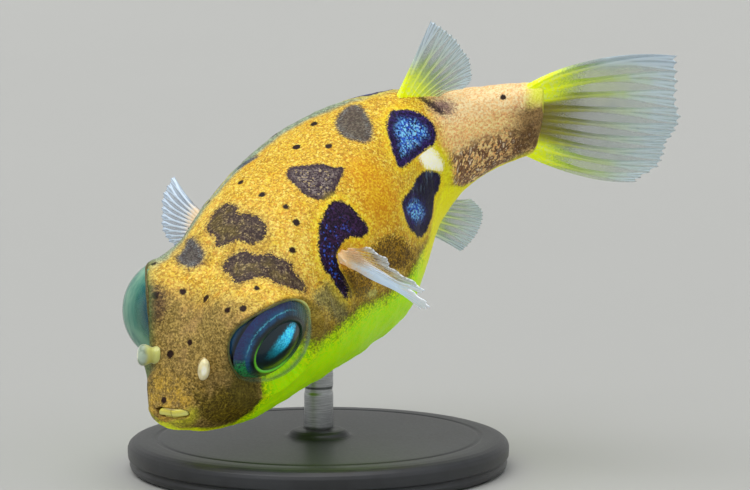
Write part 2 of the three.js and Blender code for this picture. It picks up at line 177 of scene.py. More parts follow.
def outside(at, side, up, half, top, belly):
    """How far a point is outside the trunk or an eyeball, whichever is nearer, with the two distances
    joined by a rounded minimum of width EYE_BLEND."""
    share = fullness(side, up, half, top, belly) ** (-1.0 / SECTION_POWER)
    trunk = np.hypot(side, up) * (1.0 - share)
    ahead, out, high = at + EYE_CENTRE[0], np.abs(side) - EYE_CENTRE[1], up - EYE_CENTRE[2]
    eye = np.sqrt(ahead ** 2 + out ** 2 + high ** 2) - EYE_RADIUS
    near = np.maximum(EYE_BLEND - np.abs(trunk - eye), 0.0) / EYE_BLEND
    return np.minimum(trunk, eye) - near * near * EYE_BLEND / 4.0


def body_point(at, angle):
    """The smooth skin at a station and angle: the section's point, moved out along its own ray by
    halving steps until outside() is zero."""
    at, angle = np.broadcast_arrays(np.asarray(at, float), np.asarray(angle, float))
    half, top, belly = reaches(at)
    side, up = oval(angle, half, top, belly)
    low, high = np.ones(at.shape), np.full(at.shape, 3.0)
    for _ in range(24):
        middle = (low + high) / 2.0
        inside = outside(at, side * middle, up * middle, half, top, belly) < 0
        low, high = np.where(inside, middle, low), np.where(inside, high, middle)
    lean = END_LEAN * smooth_step(at, LEAN_FROM, BODY_END)
    return place(at + lean * up, side * low, up * low)


def on_skin(at, degrees):
    """body_point() for an angle in degrees."""
    return body_point(at, np.radians(degrees))


def round_angles(count):
    """Angles evenly spaced round a circle, from 0."""
    return np.linspace(0, 2 * math.pi, count, endpoint=False)


def unit(vectors):
    """Vectors scaled to a length of one, along the last axis."""
    return vectors / np.maximum(np.linalg.norm(vectors, axis=-1, keepdims=True), 1e-12)


def sheet_normal(points):
    """Unit normals of an open grid: the cross product of its differences along rows and columns."""
    return unit(np.cross(np.gradient(points, axis=0), np.gradient(points, axis=1)))


def turn_about(axis, angle):
    """The matrix of a turn about x (0) or z (2)."""
    c, s = math.cos(angle), math.sin(angle)
    if axis == 0:
        return np.array([[1, 0, 0], [0, c, -s], [0, s, c]])
    return np.array([[c, -s, 0], [s, c, 0], [0, 0, 1]])


POSE = turn_about(0, PITCH) @ turn_about(2, -math.pi / 2) @ turn_about(0, -ROLL)


def to_stand(points):
    """Fish millimetres to the stand's frame in metres: turned by POSE about the pivot station."""
    return ((points - place(PIVOT_AT, 0.0, 0.0)) @ POSE.T + PIVOT) * MM


def ripple(points, wavelength, seed, waves=9):
    """Smooth uneven relief from -1 to 1 or so: a sum of sine waves that run in seeded directions."""
    rng = np.random.default_rng(seed)
    direction = unit(rng.normal(size=(waves, 3)))
    length = wavelength * rng.uniform(0.75, 1.35, waves)
    phase = rng.uniform(0, 2 * math.pi, waves)
    total = np.zeros(points.shape[:-1])
    for k in range(waves):
        total += np.sin(points @ direction[k] * (2 * math.pi / length[k]) + phase[k])
    return total / math.sqrt(waves)


def catmull(p0, p1, p2, p3, t):
    """The cubic from p1 to p2 as t goes from 0 to 1, with slopes taken from the points on both sides
    (uniform Catmull-Rom)."""
    v0, v1 = (p2 - p0) / 2, (p3 - p1) / 2
    return (2 * p1 - 2 * p2 + v0 + v1) * t ** 3 + (3 * p2 - 3 * p1 - 2 * v0 - v1) * t ** 2 + v0 * t + p1


def closed_curve(points, steps):
    """Points on a smooth closed curve through the given ones, some per span."""
    t = np.linspace(0, 1, steps, endpoint=False)[None, :, None]
    curve = catmull(*(np.roll(points, k, axis=0)[:, None] for k in (1, 0, -1, -2)), t)
    return curve.reshape(-1, points.shape[-1])


def spline(points, u):
    """A smooth open curve through points, evenly numbered from 0 to 1."""
    points = np.asarray(points, float)
    last = len(points) - 1
    spot = np.clip(u, 0, 1) * last
    i = np.minimum(spot.astype(int), last - 1)
    ends = (points[np.clip(i + k, 0, last)] for k in (-1, 0, 1, 2))
    return catmull(*ends, (spot - i)[..., None])


def to_outline(points, outline, far=2.0):
    """Signed distance in millimetres to a marking's edge, negative inside. The outline's (station,
    degrees) points and the skin near them are laid flat on the plane that fits the outline best."""
    loop = closed_curve(np.array([on_skin(at, degrees) for at, degrees in outline]), 5)
    centre = loop.mean(axis=0)
    flat_ways = np.linalg.svd(loop - centre)[2][:2]
    edge = (loop - centre) @ flat_ways.T
    reach = np.linalg.norm(loop - centre, axis=1).max() + 1.0
    result = np.full(points.shape[:-1], far)
    close = np.linalg.norm(points - centre, axis=-1) < reach
    spot = (points[close] - centre) @ flat_ways.T
    best, inside = np.full(len(spot), far), np.zeros(len(spot), bool)
    for a, b in zip(edge, np.roll(edge, -1, axis=0)):
        way = b - a
        t = np.clip((spot - a) @ way / (way @ way), 0.0, 1.0)
        best = np.minimum(best, np.linalg.norm(spot - a - t[:, None] * way, axis=1))
        crosses = (a[1] > spot[:, 1]) != (b[1] > spot[:, 1])
        slope = way[0] / (way[1] if way[1] else 1e-9)
        inside ^= crosses & (spot[:, 0] < a[0] + (spot[:, 1] - a[1]) * slope)
    result[close] = np.where(inside, -best, best)
    return result


def to_line(points, line):
    """Distance to a line on the skin through (station, degrees) points, and how far along it 0 to 1."""
    ends = np.array([on_skin(at, degrees) for at, degrees in line])
    lengths = np.linalg.norm(np.diff(ends, axis=0), axis=1)
    best, along, done = np.full(points.shape[:-1], 1e9), np.zeros(points.shape[:-1]), 0.0
    for a, b, length in zip(ends[:-1], ends[1:], lengths):
        t = np.clip((points - a) @ (b - a) / length ** 2, 0.0, 1.0)
        gap = np.linalg.norm(points - (a + t[..., None] * (b - a)), axis=-1)
        closer = gap < best
        best = np.where(closer, gap, best)
        along = np.where(closer, (done + t * length) / lengths.sum(), along)
        done += length
    return best, along


def row_normals(points):
    """Unit normals of a grid whose columns close on themselves: the cross product of the differences
    along rows and columns."""
    along = np.gradient(points, axis=0)
    round_ = np.roll(points, -1, axis=1) - np.roll(points, 1, axis=1)
    return unit(np.cross(round_, along))


# ---- Meshes ----

def make_piece(name, points, quads, triangles, fields=None, flat_map=None):
    """A mesh object from posed points, quad and triangle index arrays, named point fields and a map."""
    mesh = bpy.data.meshes.new(name)
    corners = np.concatenate([quads.ravel(), triangles.ravel()]).astype(np.int32)
    starts = np.concatenate([np.arange(len(quads)) * 4, len(quads) * 4 + np.arange(len(triangles)) * 3])
    mesh.vertices.add(len(points))
    mesh.vertices.foreach_set("co", points.astype(np.float32).ravel())
    mesh.loops.add(len(corners))
    mesh.loops.foreach_set("vertex_index", corners)
    mesh.polygons.add(len(starts))
    mesh.polygons.foreach_set("loop_start", starts.astype(np.int32))
    mesh.update(calc_edges=True)
    mesh.validate()
    mesh.polygons.foreach_set("use_smooth", np.ones(len(mesh.polygons), bool))
    for key, values in (fields or {}).items():
        layer = mesh.attributes.new(key, "FLOAT", "POINT")
        layer.data.foreach_set("value", np.asarray(values, np.float32).ravel())
    if flat_map is not None:
        layer = mesh.uv_layers.new(name="OFBake")
        layer.data.foreach_set("uv", flat_map.astype(np.float32).ravel())
    piece = bpy.data.objects.new(name, mesh)
    bpy.context.scene.collection.objects.link(piece)
    return piece


def loft(name, rings, front, back, fields=None):
    """A closed skin over rings of points (rows, columns, 3): quads between rings, and a fan of
    triangles to one point at each end. Fields are given per ring point; the end points copy a mean."""
    rows, columns = rings.shape[:2]
    points = np.concatenate([rings.reshape(-1, 3), front[None], back[None]])
    i, j = np.meshgrid(np.arange(rows - 1), np.arange(columns), indexing="ij")
    a, b = i * columns + j, i * columns + (j + 1) % columns
    quads = np.stack([a, b, b + columns, a + columns], axis=-1).reshape(-1, 4)
    u0, u1 = j / columns, (j + 1) / columns
    v0, v1 = 0.02 + 0.96 * i / (rows - 1), 0.02 + 0.96 * (i + 1) / (rows - 1)
    quad_map = np.stack([u0, v0, u1, v0, u1, v1, u0, v1], axis=-1).reshape(-1, 2)
    j = np.arange(columns)
    after, foot = (j + 1) % columns, (rows - 1) * columns
    start = np.stack([np.full(columns, rows * columns), after, j], axis=-1)
    end = np.stack([np.full(columns, rows * columns + 1), foot + j, foot + after], axis=-1)
    u0, u1, um = j / columns, (j + 1) / columns, (j + 0.5) / columns
    low, high = np.zeros(columns), np.ones(columns)
    start_map = np.stack([um, low, u1, low + 0.02, u0, low + 0.02], axis=-1).reshape(-1, 2)
    end_map = np.stack([um, high, u0, high - 0.02, u1, high - 0.02], axis=-1).reshape(-1, 2)
    flat_map = 0.004 + 0.992 * np.concatenate([quad_map, start_map, end_map])
    filled = {}
    for key, values in (fields or {}).items():
        values = np.broadcast_to(values, rings.shape[:2])
        filled[key] = np.concatenate([values.ravel(), [values[0].mean()], [values[-1].mean()]])
    return make_piece(name, points, quads, np.concatenate([start, end]), filled, flat_map)


def slab(name, middle, thickness, fields):
    """A closed thin sheet over a grid of points: both faces stand half the thickness off the grid along
    its normal, and quads close the edge all round."""
    rows, columns = middle.shape[:2]
    shift = sheet_normal(middle) * (thickness / 2.0)[..., None]
    points = np.concatenate([(middle + shift).reshape(-1, 3), (middle - shift).reshape(-1, 3)])
    layer = rows * columns
    i, j = np.arange(rows - 1), np.arange(columns - 1)
    a = (i[:, None] * columns + j).ravel()
    top = np.stack([a, a + columns, a + columns + 1, a + 1], axis=-1)
    under = top[:, [0, 3, 2, 1]] + layer

    def border(a, step, order):
        """Quads from one face to the other along a border that starts at a, taken in an order."""
        return np.stack([a, a + step, a + step + layer, a + layer], axis=-1)[:, order]

    onward, backward = [0, 1, 2, 3], [0, 3, 2, 1]
    edges = np.concatenate([
        border(i * columns, columns, backward), border(i * columns + columns - 1, columns, onward),
        border(j, 1, onward), border((rows - 1) * columns + j, 1, backward),
    ])
    quads = np.concatenate([top, under, edges])
    both = {key: np.tile(value.ravel(), 2) for key, value in fields.items()}
    shares = np.meshgrid(np.arange(rows) / (rows - 1), np.arange(columns) / (columns - 1), indexing="ij")
    u, v = (np.tile(share.ravel(), 2) for share in shares)
    shelf = np.where((np.arange(len(quads)) // len(top)) == 1, 0.5, 0.0)
    flat_map = np.stack([0.01 + 0.98 * u[quads], 0.005 + 0.49 * v[quads] + shelf[:, None]], axis=-1)
    return make_piece(name, points, quads, np.zeros((0, 3), int), both, flat_map.reshape(-1, 2))


def turned(name, profile, rows, columns, centre=(0.0, 0.0)):
    """A closed piece turned about a vertical line: a profile of (radius, height) in millimetres, spread
    over rows of rings by straight steps, and closed by a point on the line at each end."""
    spots, keys = np.linspace(0, len(profile) - 1, rows), np.arange(len(profile))
    radius, height = (np.interp(spots, keys, np.array(profile)[:, k]) for k in (0, 1))
    angle = round_angles(columns)
    ring = np.stack([np.cos(angle), np.sin(angle), np.zeros(columns)], axis=-1)
    middle = np.array([*centre, 0.0]) + height[:, None, None] * UPRIGHT
    rings = middle + radius[:, None, None] * ring
    return loft(name, rings * MM, middle[0, 0] * MM, middle[-1, 0] * MM)


def finish_piece(piece, material, slot, *nodes):
    """Gives a piece its material and hides the CAD nodes that it stands for. The slot is not used."""
    piece.data.materials.append(material)
    if nodes:
        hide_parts(*nodes)
    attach(piece, "root")
    return piece


# ---- Materials ----

def tint(red, green, blue):
    """A colour given as 0 to 255 on a screen, as the linear values that a shader takes."""
    share = np.array([red, green, blue]) / 255.0
    linear = np.where(share <= 0.04045, share / 12.92, ((share + 0.055) / 1.055) ** 2.4)
    return tuple(float(x) for x in linear)


class Wire:
    """The output of a shader node. Arithmetic on it adds Math nodes."""

    def __init__(self, finish, socket):
        self.finish, self.socket = finish, socket

    def _with(self, operation, first, second):
        """One Math node's output."""
        return self.finish.node("ShaderNodeMath", {"operation": operation}, {0: first, 1: second})

    def __add__(self, other):
        return self._with("ADD", self, other)

    def __radd__(self, other):
        return self._with("ADD", other, self)

    def __sub__(self, other):
        return self._with("SUBTRACT", self, other)

    def __rsub__(self, other):
        return self._with("SUBTRACT", other, self)

    def __mul__(self, other):
        return self._with("MULTIPLY", self, other)

    def __rmul__(self, other):
        return self._with("MULTIPLY", other, self)

    def at_most(self, other):
        """The smaller of the two."""
        return self._with("MINIMUM", self, other)

    def at_least(self, other):
        """The larger of the two."""
        return self._with("MAXIMUM", self, other)

    def step(self, low, high):
        """0 at low and 1 at high, eased between them; low may be the larger one."""
        if low > high:
            return 1.0 - self.step(high, low)
        values = {"Value": self, "From Min": low, "From Max": high, "To Min": 0.0, "To Max": 1.0}
        return self.finish.node("ShaderNodeMapRange", {"interpolation_type": "SMOOTHSTEP"}, values)


class Finish:
    """A node material for one finish of the model."""

    def __init__(self, name):
        self.material = bpy.data.materials.new(name)
        self.material.use_nodes = True
        self.tree = self.material.node_tree
        self.tree.nodes.clear()
        self.spot = self.node("ShaderNodeTexCoord", {}, {}, "Object")

    def node(self, kind, settings, values, take=0):
        """Adds a node of a type: its settings first, then its sockets' values or wires, by name or
        number. Returns the wire of one output, by name or number."""
        made = self.tree.nodes.new(kind)
        for key, value in settings.items():
            setattr(made, key, value)
        for key, value in values.items():
            if isinstance(key, int):
                socket = made.inputs[key]
            else:
                socket = next(s for s in made.inputs if s.enabled and key in (s.identifier, s.name))
            if isinstance(value, Wire):
                self.tree.links.new(value.socket, socket)
            elif socket.type == "RGBA" and len(value) == 3:
                socket.default_value = (*value, 1.0)
            else:
                socket.default_value = value
        return Wire(self, made.outputs[take])

    def field(self, name):
        """A named value that the piece's points carry."""
        return self.node("ShaderNodeAttribute", {"attribute_name": name}, {}, "Fac")

    def fields(self, *names):
        """Several named values at once."""
        return [self.field(name) for name in names]

    def noise(self, size, detail=2.0, roughness=0.5, spot=None):
        """Cloudy noise from 0 to 1, with features of a size in millimetres."""
        values = {"Vector": spot or self.spot, "Scale": 1.0 / (size * MM), "Detail": detail,
                  "Roughness": roughness}
        return self.node("ShaderNodeTexNoise", {}, values, "Fac")

    def cells(self, size, take="Color", feature="F1", spot=None):
        """Cells of a size in millimetres: a random colour for each, or the distance to its middle."""
        values = {"Vector": spot or self.spot, "Scale": 1.0 / (size * MM)}
        return self.node("ShaderNodeTexVoronoi", {"feature": feature}, values, take)

    def part(self, wire, index):
        """One channel of a colour: 0 red, 1 green, 2 blue."""
        return self.node("ShaderNodeSeparateColor", {}, {"Color": wire}, index)

    def mix(self, share, first, second, blend="MIX"):
        """Goes from the first colour to the second as the share goes from 0 to 1."""
        settings = {"data_type": "RGBA", "blend_type": blend, "clamp_factor": True}
        values = {"Factor_Float": share, "A_Color": first, "B_Color": second}
        return self.node("ShaderNodeMix", settings, values, 2)

    def layered(self, ground, *layers):
        """A ground colour with (share, colour) layers mixed over it, one after another."""
        for share, colour in layers:
            ground = self.mix(share, ground, colour)
        return ground

    def stretched(self, *scale):
        """The piece's own coordinates, scaled along x, y and z."""
        return self.node("ShaderNodeMapping", {}, {"Vector": self.spot, "Scale": scale})

    def bump(self, height, rise, strength=1.0, under=None):
        """A bumped normal; rise is the relief in millimetres for a height of 1."""
        values = {"Height": height, "Distance": rise * MM, "Strength": strength}
        if under is not None:
            values["Normal"] = under
        return self.node("ShaderNodeBump", {}, values, "Normal")

    def surface(self, **values):
        """The finished surface; underscores in names stand for spaces."""
        named = {key.replace("_", " "): value for key, value in values.items()}
        shader = self.node("ShaderNodeBsdfPrincipled", {}, named)
        output = self.tree.nodes.new("ShaderNodeOutputMaterial")
        self.tree.links.new(shader.socket, output.inputs["Surface"])
        return self.material


# ---- Markings of the skin: outlines of (station, degrees) ----

def mirrored(outline):
    """The same outline on the other side of the body."""
    return [(at, 180 - degrees) for at, degrees in outline]


def both_sides(*outlines):
    """Outlines and their mirror images."""
    return [*outlines, *(mirrored(outline) for outline in outlines)]


FRECKLES = [
    (3.40, 112, 0.12), (3.95, 98, 0.10), (3.91, 83, 0.12), (3.43, 64, 0.08), (3.66, 56, 0.09),
    (4.76, 55, 0.07), (2.36, 84, 0.09), (1.84, 99, 0.12), (0.26, 92, 0.09), (9.89, 104, 0.09),
    (9.31, 87, 0.11), (9.08, 70, 0.08), (8.66, 59, 0.11), (7.45, 50, 0.10), (12.75, 92, 0.14),
    (13.41, 78, 0.10), (14.42, 98, 0.12), (22.54, 68, 0.08), (8.9, 124, 0.10), (12.0, 134, 0.11),
    (7.4, 136, 0.11), (13.6, 125, 0.12), (10.4, 144, 0.10), (15.2, 126, 0.12), (4.9, 126, 0.08),
]
NAPE_RIGHT = [
    (6.56, 119), (6.62, 114), (6.36, 107), (6.03, 100), (5.74, 97), (5.43, 97), (5.17, 99), (5.04, 103),
    (5.13, 109), (5.39, 114), (5.73, 115), (6.06, 116),
]
NAPE_MIDDLE = [
    (7.53, 107), (8.12, 107), (8.48, 104), (8.58, 99), (8.38, 94), (8.07, 92), (8.07, 88), (8.07, 82),
    (7.93, 75), (7.62, 71), (7.23, 70), (6.92, 72), (6.78, 77), (6.79, 84), (6.56, 87), (6.31, 91),
    (6.38, 94), (6.66, 96), (6.98, 104), (7.17, 106),
]
NAPE_LEFT = [
    (5.54, 84), (5.93, 83), (6.22, 80), (6.42, 75), (6.36, 69), (6.57, 64), (6.77, 61), (6.78, 56),
    (6.91, 49), (6.87, 45), (6.71, 42), (6.62, 35), (6.54, 30), (6.17, 30), (5.99, 34), (5.76, 40),
    (5.57, 45), (5.53, 50), (5.54, 54), (5.25, 59), (4.97, 63), (4.72, 67), (4.87, 71), (5.20, 77),
    (5.30, 81),
]
FLANK_MIDDLE = [
    (11.19, 85), (11.53, 82), (11.83, 77), (12.15, 72), (12.39, 65), (12.71, 61), (12.52, 58), (12.05, 56),
    (11.51, 54), (10.86, 52), (10.36, 55), (10.13, 61), (10.14, 68), (10.40, 76), (10.73, 83),
]
BACK_GREY = [
    (16.12, 97), (16.53, 95), (16.48, 87), (16.26, 77), (15.89, 67), (15.35, 62), (14.88, 63), (14.56, 69),
    (14.44, 76), (14.62, 84), (15.05, 90), (15.62, 94),
]
BACK_FAR = [(10.9, 122), (11.2, 115), (11.6, 111), (11.9, 112), (11.8, 118), (11.4, 124)]
SIDE_UPPER = [
    (17.50, 74), (17.97, 72), (18.49, 68), (18.91, 60), (19.22, 48), (19.19, 36), (18.87, 28), (18.13, 27),
    (17.49, 27), (16.50, 29), (15.74, 32), (15.71, 38), (16.04, 48), (16.45, 59), (16.91, 67),
]
SIDE_LOWER = [
    (17.45, 15), (18.38, 6), (18.59, 0), (18.24, -5), (17.82, -6), (17.45, -9), (17.05, -13), (16.40, -12),
    (15.93, -13), (15.02, -9), (14.33, -2), (13.99, 3), (14.06, 11), (14.39, 16), (15.21, 16), (15.98, 15),
    (16.63, 16),
]
SHOULDER = [
    (10.44, 50), (10.92, 47), (11.13, 42), (11.15, 35), (11.14, 29), (11.17, 23), (10.97, 20), (10.52, 21),
    (10.04, 26), (9.62, 28), (9.15, 27), (8.73, 24), (8.49, 18), (8.41, 11), (8.39, 5), (8.33, 1),
    (8.10, 5), (7.97, 13), (7.97, 20), (7.91, 27), (8.17, 35), (8.61, 41), (9.17, 46), (9.81, 49),
]
BEHIND_DORSAL = [
    (19.55, 78), (19.90, 82), (20.31, 79), (20.50, 68), (20.30, 57), (19.84, 57), (19.53, 62), (19.38, 69),
]
DORSAL_SMUDGE = [
    (19.20, 90), (19.45, 86), (19.7, 76), (20.0, 62), (19.95, 55), (19.7, 60), (19.45, 70), (19.22, 82),
]
BEHIND_PECTORAL = [
    (10.66, 11), (11.33, 11), (12.13, 8), (12.95, 2), (13.62, -5), (13.69, -10), (12.74, -10), (11.77, -7),
    (11.02, -2), (10.61, 3),
]
UNDER_PECTORAL = [(8.57, 18), (9.29, 10), (10.0, 3), (9.9, -4), (9.2, -3), (8.66, 2), (8.40, 8)]
RIGHT_BROW = [
    (3.64, 124), (3.80, 117), (3.75, 110), (3.50, 105), (3.10, 104), (2.70, 109), (2.45, 118), (2.97, 124),
]
SNOUT_SIDE = [
    (0.95, 54), (1.10, 32), (1.60, 26), (2.00, 20), (2.30, 10), (2.60, -3), (2.88, -21), (2.43, -34),
    (1.89, -43), (1.03, -34), (0.50, -12), (0.52, 24),
]
CHEEK_GREY = [(6.54, 23), (7.23, 21), (7.95, 18), (8.10, 5), (8.03, -3), (7.42, -3), (6.90, 7), (6.44, 16)]
YELLOW_REAR = [
    (17.6, 36), (18.4, 34), (19.1, 24), (19.35, 10), (19.3, -5), (18.9, -16), (18.1, -26), (17.0, -30),
    (15.4, -25), (16.4, -17), (17.5, -12), (18.4, -4), (18.65, 8), (18.3, 20),
]
CREAM_REAR = [
    (17.86, 33), (18.24, 32), (18.6, 26), (18.85, 16), (18.95, 8), (18.72, 4), (18.2, 9), (17.73, 15),
    (17.51, 24), (17.55, 30),
]
CREAM_FIN = [(8.67, 3), (9.28, 0), (9.90, -4), (10.23, -8), (9.75, -8), (9.05, -1)]
LOWER_GLINT = [
    (14.42, 13), (15.35, 12), (16.19, 7), (16.60, 0), (16.60, -6), (16.03, -7), (14.96, -3), (14.27, 3),
    (14.15, 9),
]
FLANK_WARM = [(13.16, 63), (14.49, 49), (14.55, 27), (13.26, 15), (11.63, 13), (11.83, 38)]
MARKS = {
    "brown": [NAPE_MIDDLE, NAPE_LEFT, [(7.6, 152), (8.3, 146), (8.1, 138), (7.2, 141), (6.9, 150)],
              [(5.6, 140), (6.3, 138), (6.6, 146), (6.0, 154), (5.4, 149)]],
    "haze": [BEHIND_DORSAL],
    "smudge": [DORSAL_SMUDGE],
    "mauve": [FLANK_MIDDLE, [(11.3, 142), (12.3, 140), (12.7, 131), (11.9, 127), (10.9, 131), (10.6, 138)]],
    "slate": [BACK_GREY, BACK_FAR, NAPE_RIGHT],
    "navy": both_sides(SIDE_UPPER, SIDE_LOWER),
    "plum": both_sides(SHOULDER),
    "amber": both_sides(BEHIND_PECTORAL),
    "olive": both_sides(UNDER_PECTORAL),
    "brow": [RIGHT_BROW],
    "snout_side": both_sides(SNOUT_SIDE),
    "cheek": both_sides(CHEEK_GREY),
    "yellow": both_sides(YELLOW_REAR),
    "cream": both_sides(CREAM_REAR),
    "pale": both_sides(CREAM_FIN),
    "glint": both_sides(SIDE_UPPER, LOWER_GLINT),
    "warm": both_sides(FLANK_WARM),
}
LIME_EDGE = [
    (0.0, -30), (0.5, -40), (0.9, -46), (1.8, -42), (2.4, -28), (2.9, -11), (3.5, -1), (4.35, 1), (6.0, -3),
    (7.8, -5), (8.9, -6), (10.3, -12), (12.0, -17), (13.5, -14), (14.6, -15), (15.7, -20), (16.4, -20),
    (17.0, -17), (17.6, -14), (18.2, -8), (18.6, -5), (19.0, -10), (19.3, -15), (19.9, -33), (20.7, -48),
    (21.6, -52), (24.2, -50),
]
FAR_EDGE = [
    (4.0, 112), (5.05, 115), (6.6, 121), (8.7, 118), (10.7, 114), (12.1, 112), (13.7, 109), (15.0, 103),
    (16.2, 98), (18.5, 96), (20.0, 110),
]
# How many millimetres a degree round the body is at some stations.
MM_PER_DEGREE = [(0, 0.02), (3, 0.045), (8, 0.075), (13, 0.09), (18, 0.05), (24, 0.03)]
GILL_SLIT = [(9.0, 30), (8.62, 27), (8.42, 21), (8.40, 14), (8.46, 6), (8.5, 1)]
FIN_LOBE = (9.3, 19)
CHEEK_FOLD = [(7.05, 22), (7.3, 10), (7.2, -2)]

# The mouth: a slot whose middle is a little left of and above the snout's tip.
MOUTH_SIDE, MOUTH_UP = 0.21, 0.355
MOUTH_HALF, MOUTH_TALL = 0.88, 0.175
PLATE_SIDE, PLATE_ARCH = 0.42, 0.10
SNOUT_ROUND, SNOUT_ARC = 0.22, math.radians(75)
SNOUT_END = 1.2

# Each ring inside the mouth: how deep it is and its share of the mouth's size.
MOUTH_RINGS = [
    (0.75, 0.05), (0.74, 0.4), (0.70, 0.7), (0.62, 0.86), (0.5, 0.92), (0.36, 0.93), (0.24, 0.935),
    (0.14, 0.945), (0.07, 0.96), (0.03, 0.975), (0.01, 0.99),
]
SKIN_COLUMNS = 272
HEAD_END = 8.3
TAIL_CAP = 0.3


def window_angle(azimuth, side):
    """How far from the eye's axis the lids leave the ball bare, in degrees, at an azimuth about that
    axis (0 forward, 90 up): a mean opening with a wider part at the front and top."""
    turn = (np.degrees(azimuth) - (42.0 if side > 0 else 55.0) + 180.0) % 360.0 - 180.0
    if side > 0:
        return 62.5 + 12.0 * np.exp(-((turn / 34.0) ** 2))
    return 68.0 + 24.0 * np.exp(-((turn / 62.0) ** 2))


def eye_frame(side):
    """Centre, axis, forward and upward directions of an eye, each a vector in the fish's frame."""
    flip = np.array([1.0, side, 1.0])
    axis = unit(EYE_AXIS) * flip
    up = unit(UPRIGHT - axis * axis[2])
    ahead = np.array([1.0, 0, 0]) - axis * axis[0]
    ahead -= up * (ahead @ up)
    return EYE_CENTRE * flip, axis, unit(ahead), up


def about_eye(points, side):
    """Distance from an eye's centre, angle from its axis in degrees and azimuth in radians."""
    centre, axis, ahead, up = eye_frame(side)
    away = points - centre
    distance = np.linalg.norm(away, axis=-1)
    from_axis = np.degrees(np.arccos(np.clip(away @ axis / np.maximum(distance, 1e-9), -1, 1)))
    return distance, from_axis, np.arctan2(away @ up, away @ ahead)


def open_sockets(points):
    """Sinks the skin inside each eye's lids: a point moves along its ray from the eye's centre to a
    bowl with a flat floor, and the skin just outside the lids swells a little."""
    for side in (1, -1):
        centre = eye_frame(side)[0]
        distance, from_axis, azimuth = about_eye(points, side)
        edge = window_angle(azimuth, side)
        near = (distance < EYE_RADIUS + 0.6) & (points[..., 0] > -9)
        bowl = np.minimum(0.35 / np.maximum(np.cos(np.radians(np.minimum(from_axis, 88))), 0.05), 1.72)
        inside = np.where(near, smooth_step(from_axis, edge + 2.0, edge - 2.5), 0.0)
        swell = np.where(near, 0.05 * hump(from_axis, edge + 4.0, 4.0), 0.0)
        target = distance * (1 - inside) + bowl * inside + swell
        points = centre + (points - centre) * (target / np.maximum(distance, 1e-9))[..., None]
    return points


def snout_front(side, up):
    """How far forward the snout's front stands at a side and height: a shallow dome inside the first
    section, and outside it minus the station whose section passes through that place."""
    low, high = np.zeros(np.shape(side)), np.full(np.shape(side), SNOUT_END + 0.4)
    share = fullness(side, up, *reaches(low)) ** (1.0 / SECTION_POWER)
    arc = np.sqrt(np.maximum(1.0 - (np.minimum(share, 1.0) * math.sin(SNOUT_ARC)) ** 2, 0.0))
    dome = SNOUT_ROUND * (arc - math.cos(SNOUT_ARC)) / (1.0 - math.cos(SNOUT_ARC))
    for _ in range(24):
        middle = (low + high) / 2.0
        outer = fullness(side, up, *reaches(middle)) > 1.0
        low, high = np.where(outer, middle, low), np.where(outer, high, middle)
    return np.where(share < 1.0, dome, -high)


def mouth_line(side):
    """Height of the mouth's middle line above its own middle: an arch that sinks to the left corner
    and climbs to the right one."""
    return 0.01 - 0.16 * np.maximum(side - 0.45, 0) ** 2 / 0.4 + 0.15 * smooth_step(side, 0.0, -0.75)


def mouth_rim(angle, shrink=1.0):
    """Side and height of the mouth's edge: a flat, square-ended oval, thinner to the right, that follows
    the mouth's middle line."""
    side, up = oval(angle, MOUTH_HALF * shrink, MOUTH_TALL * shrink, MOUTH_TALL * shrink, 3.8)
    side = MOUTH_SIDE + side
    up = up * (0.14 + 0.86 * smooth_step(side, -0.42, -0.06))
    return side, MOUTH_UP + up + mouth_line(side)


def skin_rows():
    """The skin's grid before its relief: rings from deep in the mouth, over the lips and the snout's
    front, to the tail root. Returns points, station, angle, a lip share and both end points."""
    angle = round_angles(SKIN_COLUMNS)[None]
    depth, size = np.array(MOUTH_RINGS).T[..., None]
    rim_side, rim_up = mouth_rim(angle)
    rim_front = snout_front(rim_side, rim_up)
    inner = np.stack([rim_front - depth, *mouth_rim(angle, size)], axis=-1)

    share = (np.linspace(0, 1, 66) ** 1.35)[:, None]
    ring_side, ring_up = oval(angle, *reaches(SNOUT_END))
    side, up = rim_side + (ring_side - rim_side) * share, rim_up + (ring_up - rim_up) * share
    front = snout_front(side, up)
    lower = np.clip(-np.sin(angle), 0, 1)
    lip = (0.035 + 0.045 * lower) * hump(share, 0.055, 0.05)
    outer = np.stack([front + lip, side, up - 0.5 * lip * lower], axis=-1)
    at = np.maximum(-front, 0.0)
    half, top, belly = reaches(at)
    c = np.sign(side) * (np.abs(side) / half) ** (SECTION_POWER / 2)
    s = np.sign(up) * (np.abs(up) / np.where(up >= 0, top, belly)) ** (SECTION_POWER / 2)
    turn = np.arctan2(s, c)

    head_at = np.linspace(SNOUT_END, HEAD_END, 114)[1:]
    rear_at = np.linspace(HEAD_END, BODY_END, 160)[1:]
    body_at = np.concatenate([head_at, rear_at])[:, None]
    body = body_point(body_at, angle)
    closing = np.linspace(0, math.pi / 2, 8)[1:-1, None, None]
    root = body_point(np.full((1, 1), BODY_END), angle)
    middle = root.mean(axis=1, keepdims=True)
    back = np.array([-math.cos(heading(BODY_END)), math.sin(heading(BODY_END)), 0.0])
    cap = middle + (root - middle) * np.cos(closing) + TAIL_CAP * np.sin(closing) * back

    points = np.concatenate([inner, outer, body, cap])
    flat, end = np.ones((1, SKIN_COLUMNS)), np.ones(cap.shape[:2])
    stations = np.concatenate([0 * depth * flat, at, body_at * flat, BODY_END * end])
    angles = np.concatenate([turn[:1] + 0 * depth, turn, angle + 0 * body_at, angle * end])
    lips = np.concatenate([-depth * flat, share * flat, np.ones(body.shape[:2]), end])
    return points, stations, angles, lips, inner[0].mean(axis=0), middle[0, 0] + TAIL_CAP * back


def full_turn(angle):
    """Degrees round the body from -90 on the belly, over 0 on the left and 90 on the back, to 270."""
    return (np.degrees(angle) + 90.0) % 360.0 - 90.0


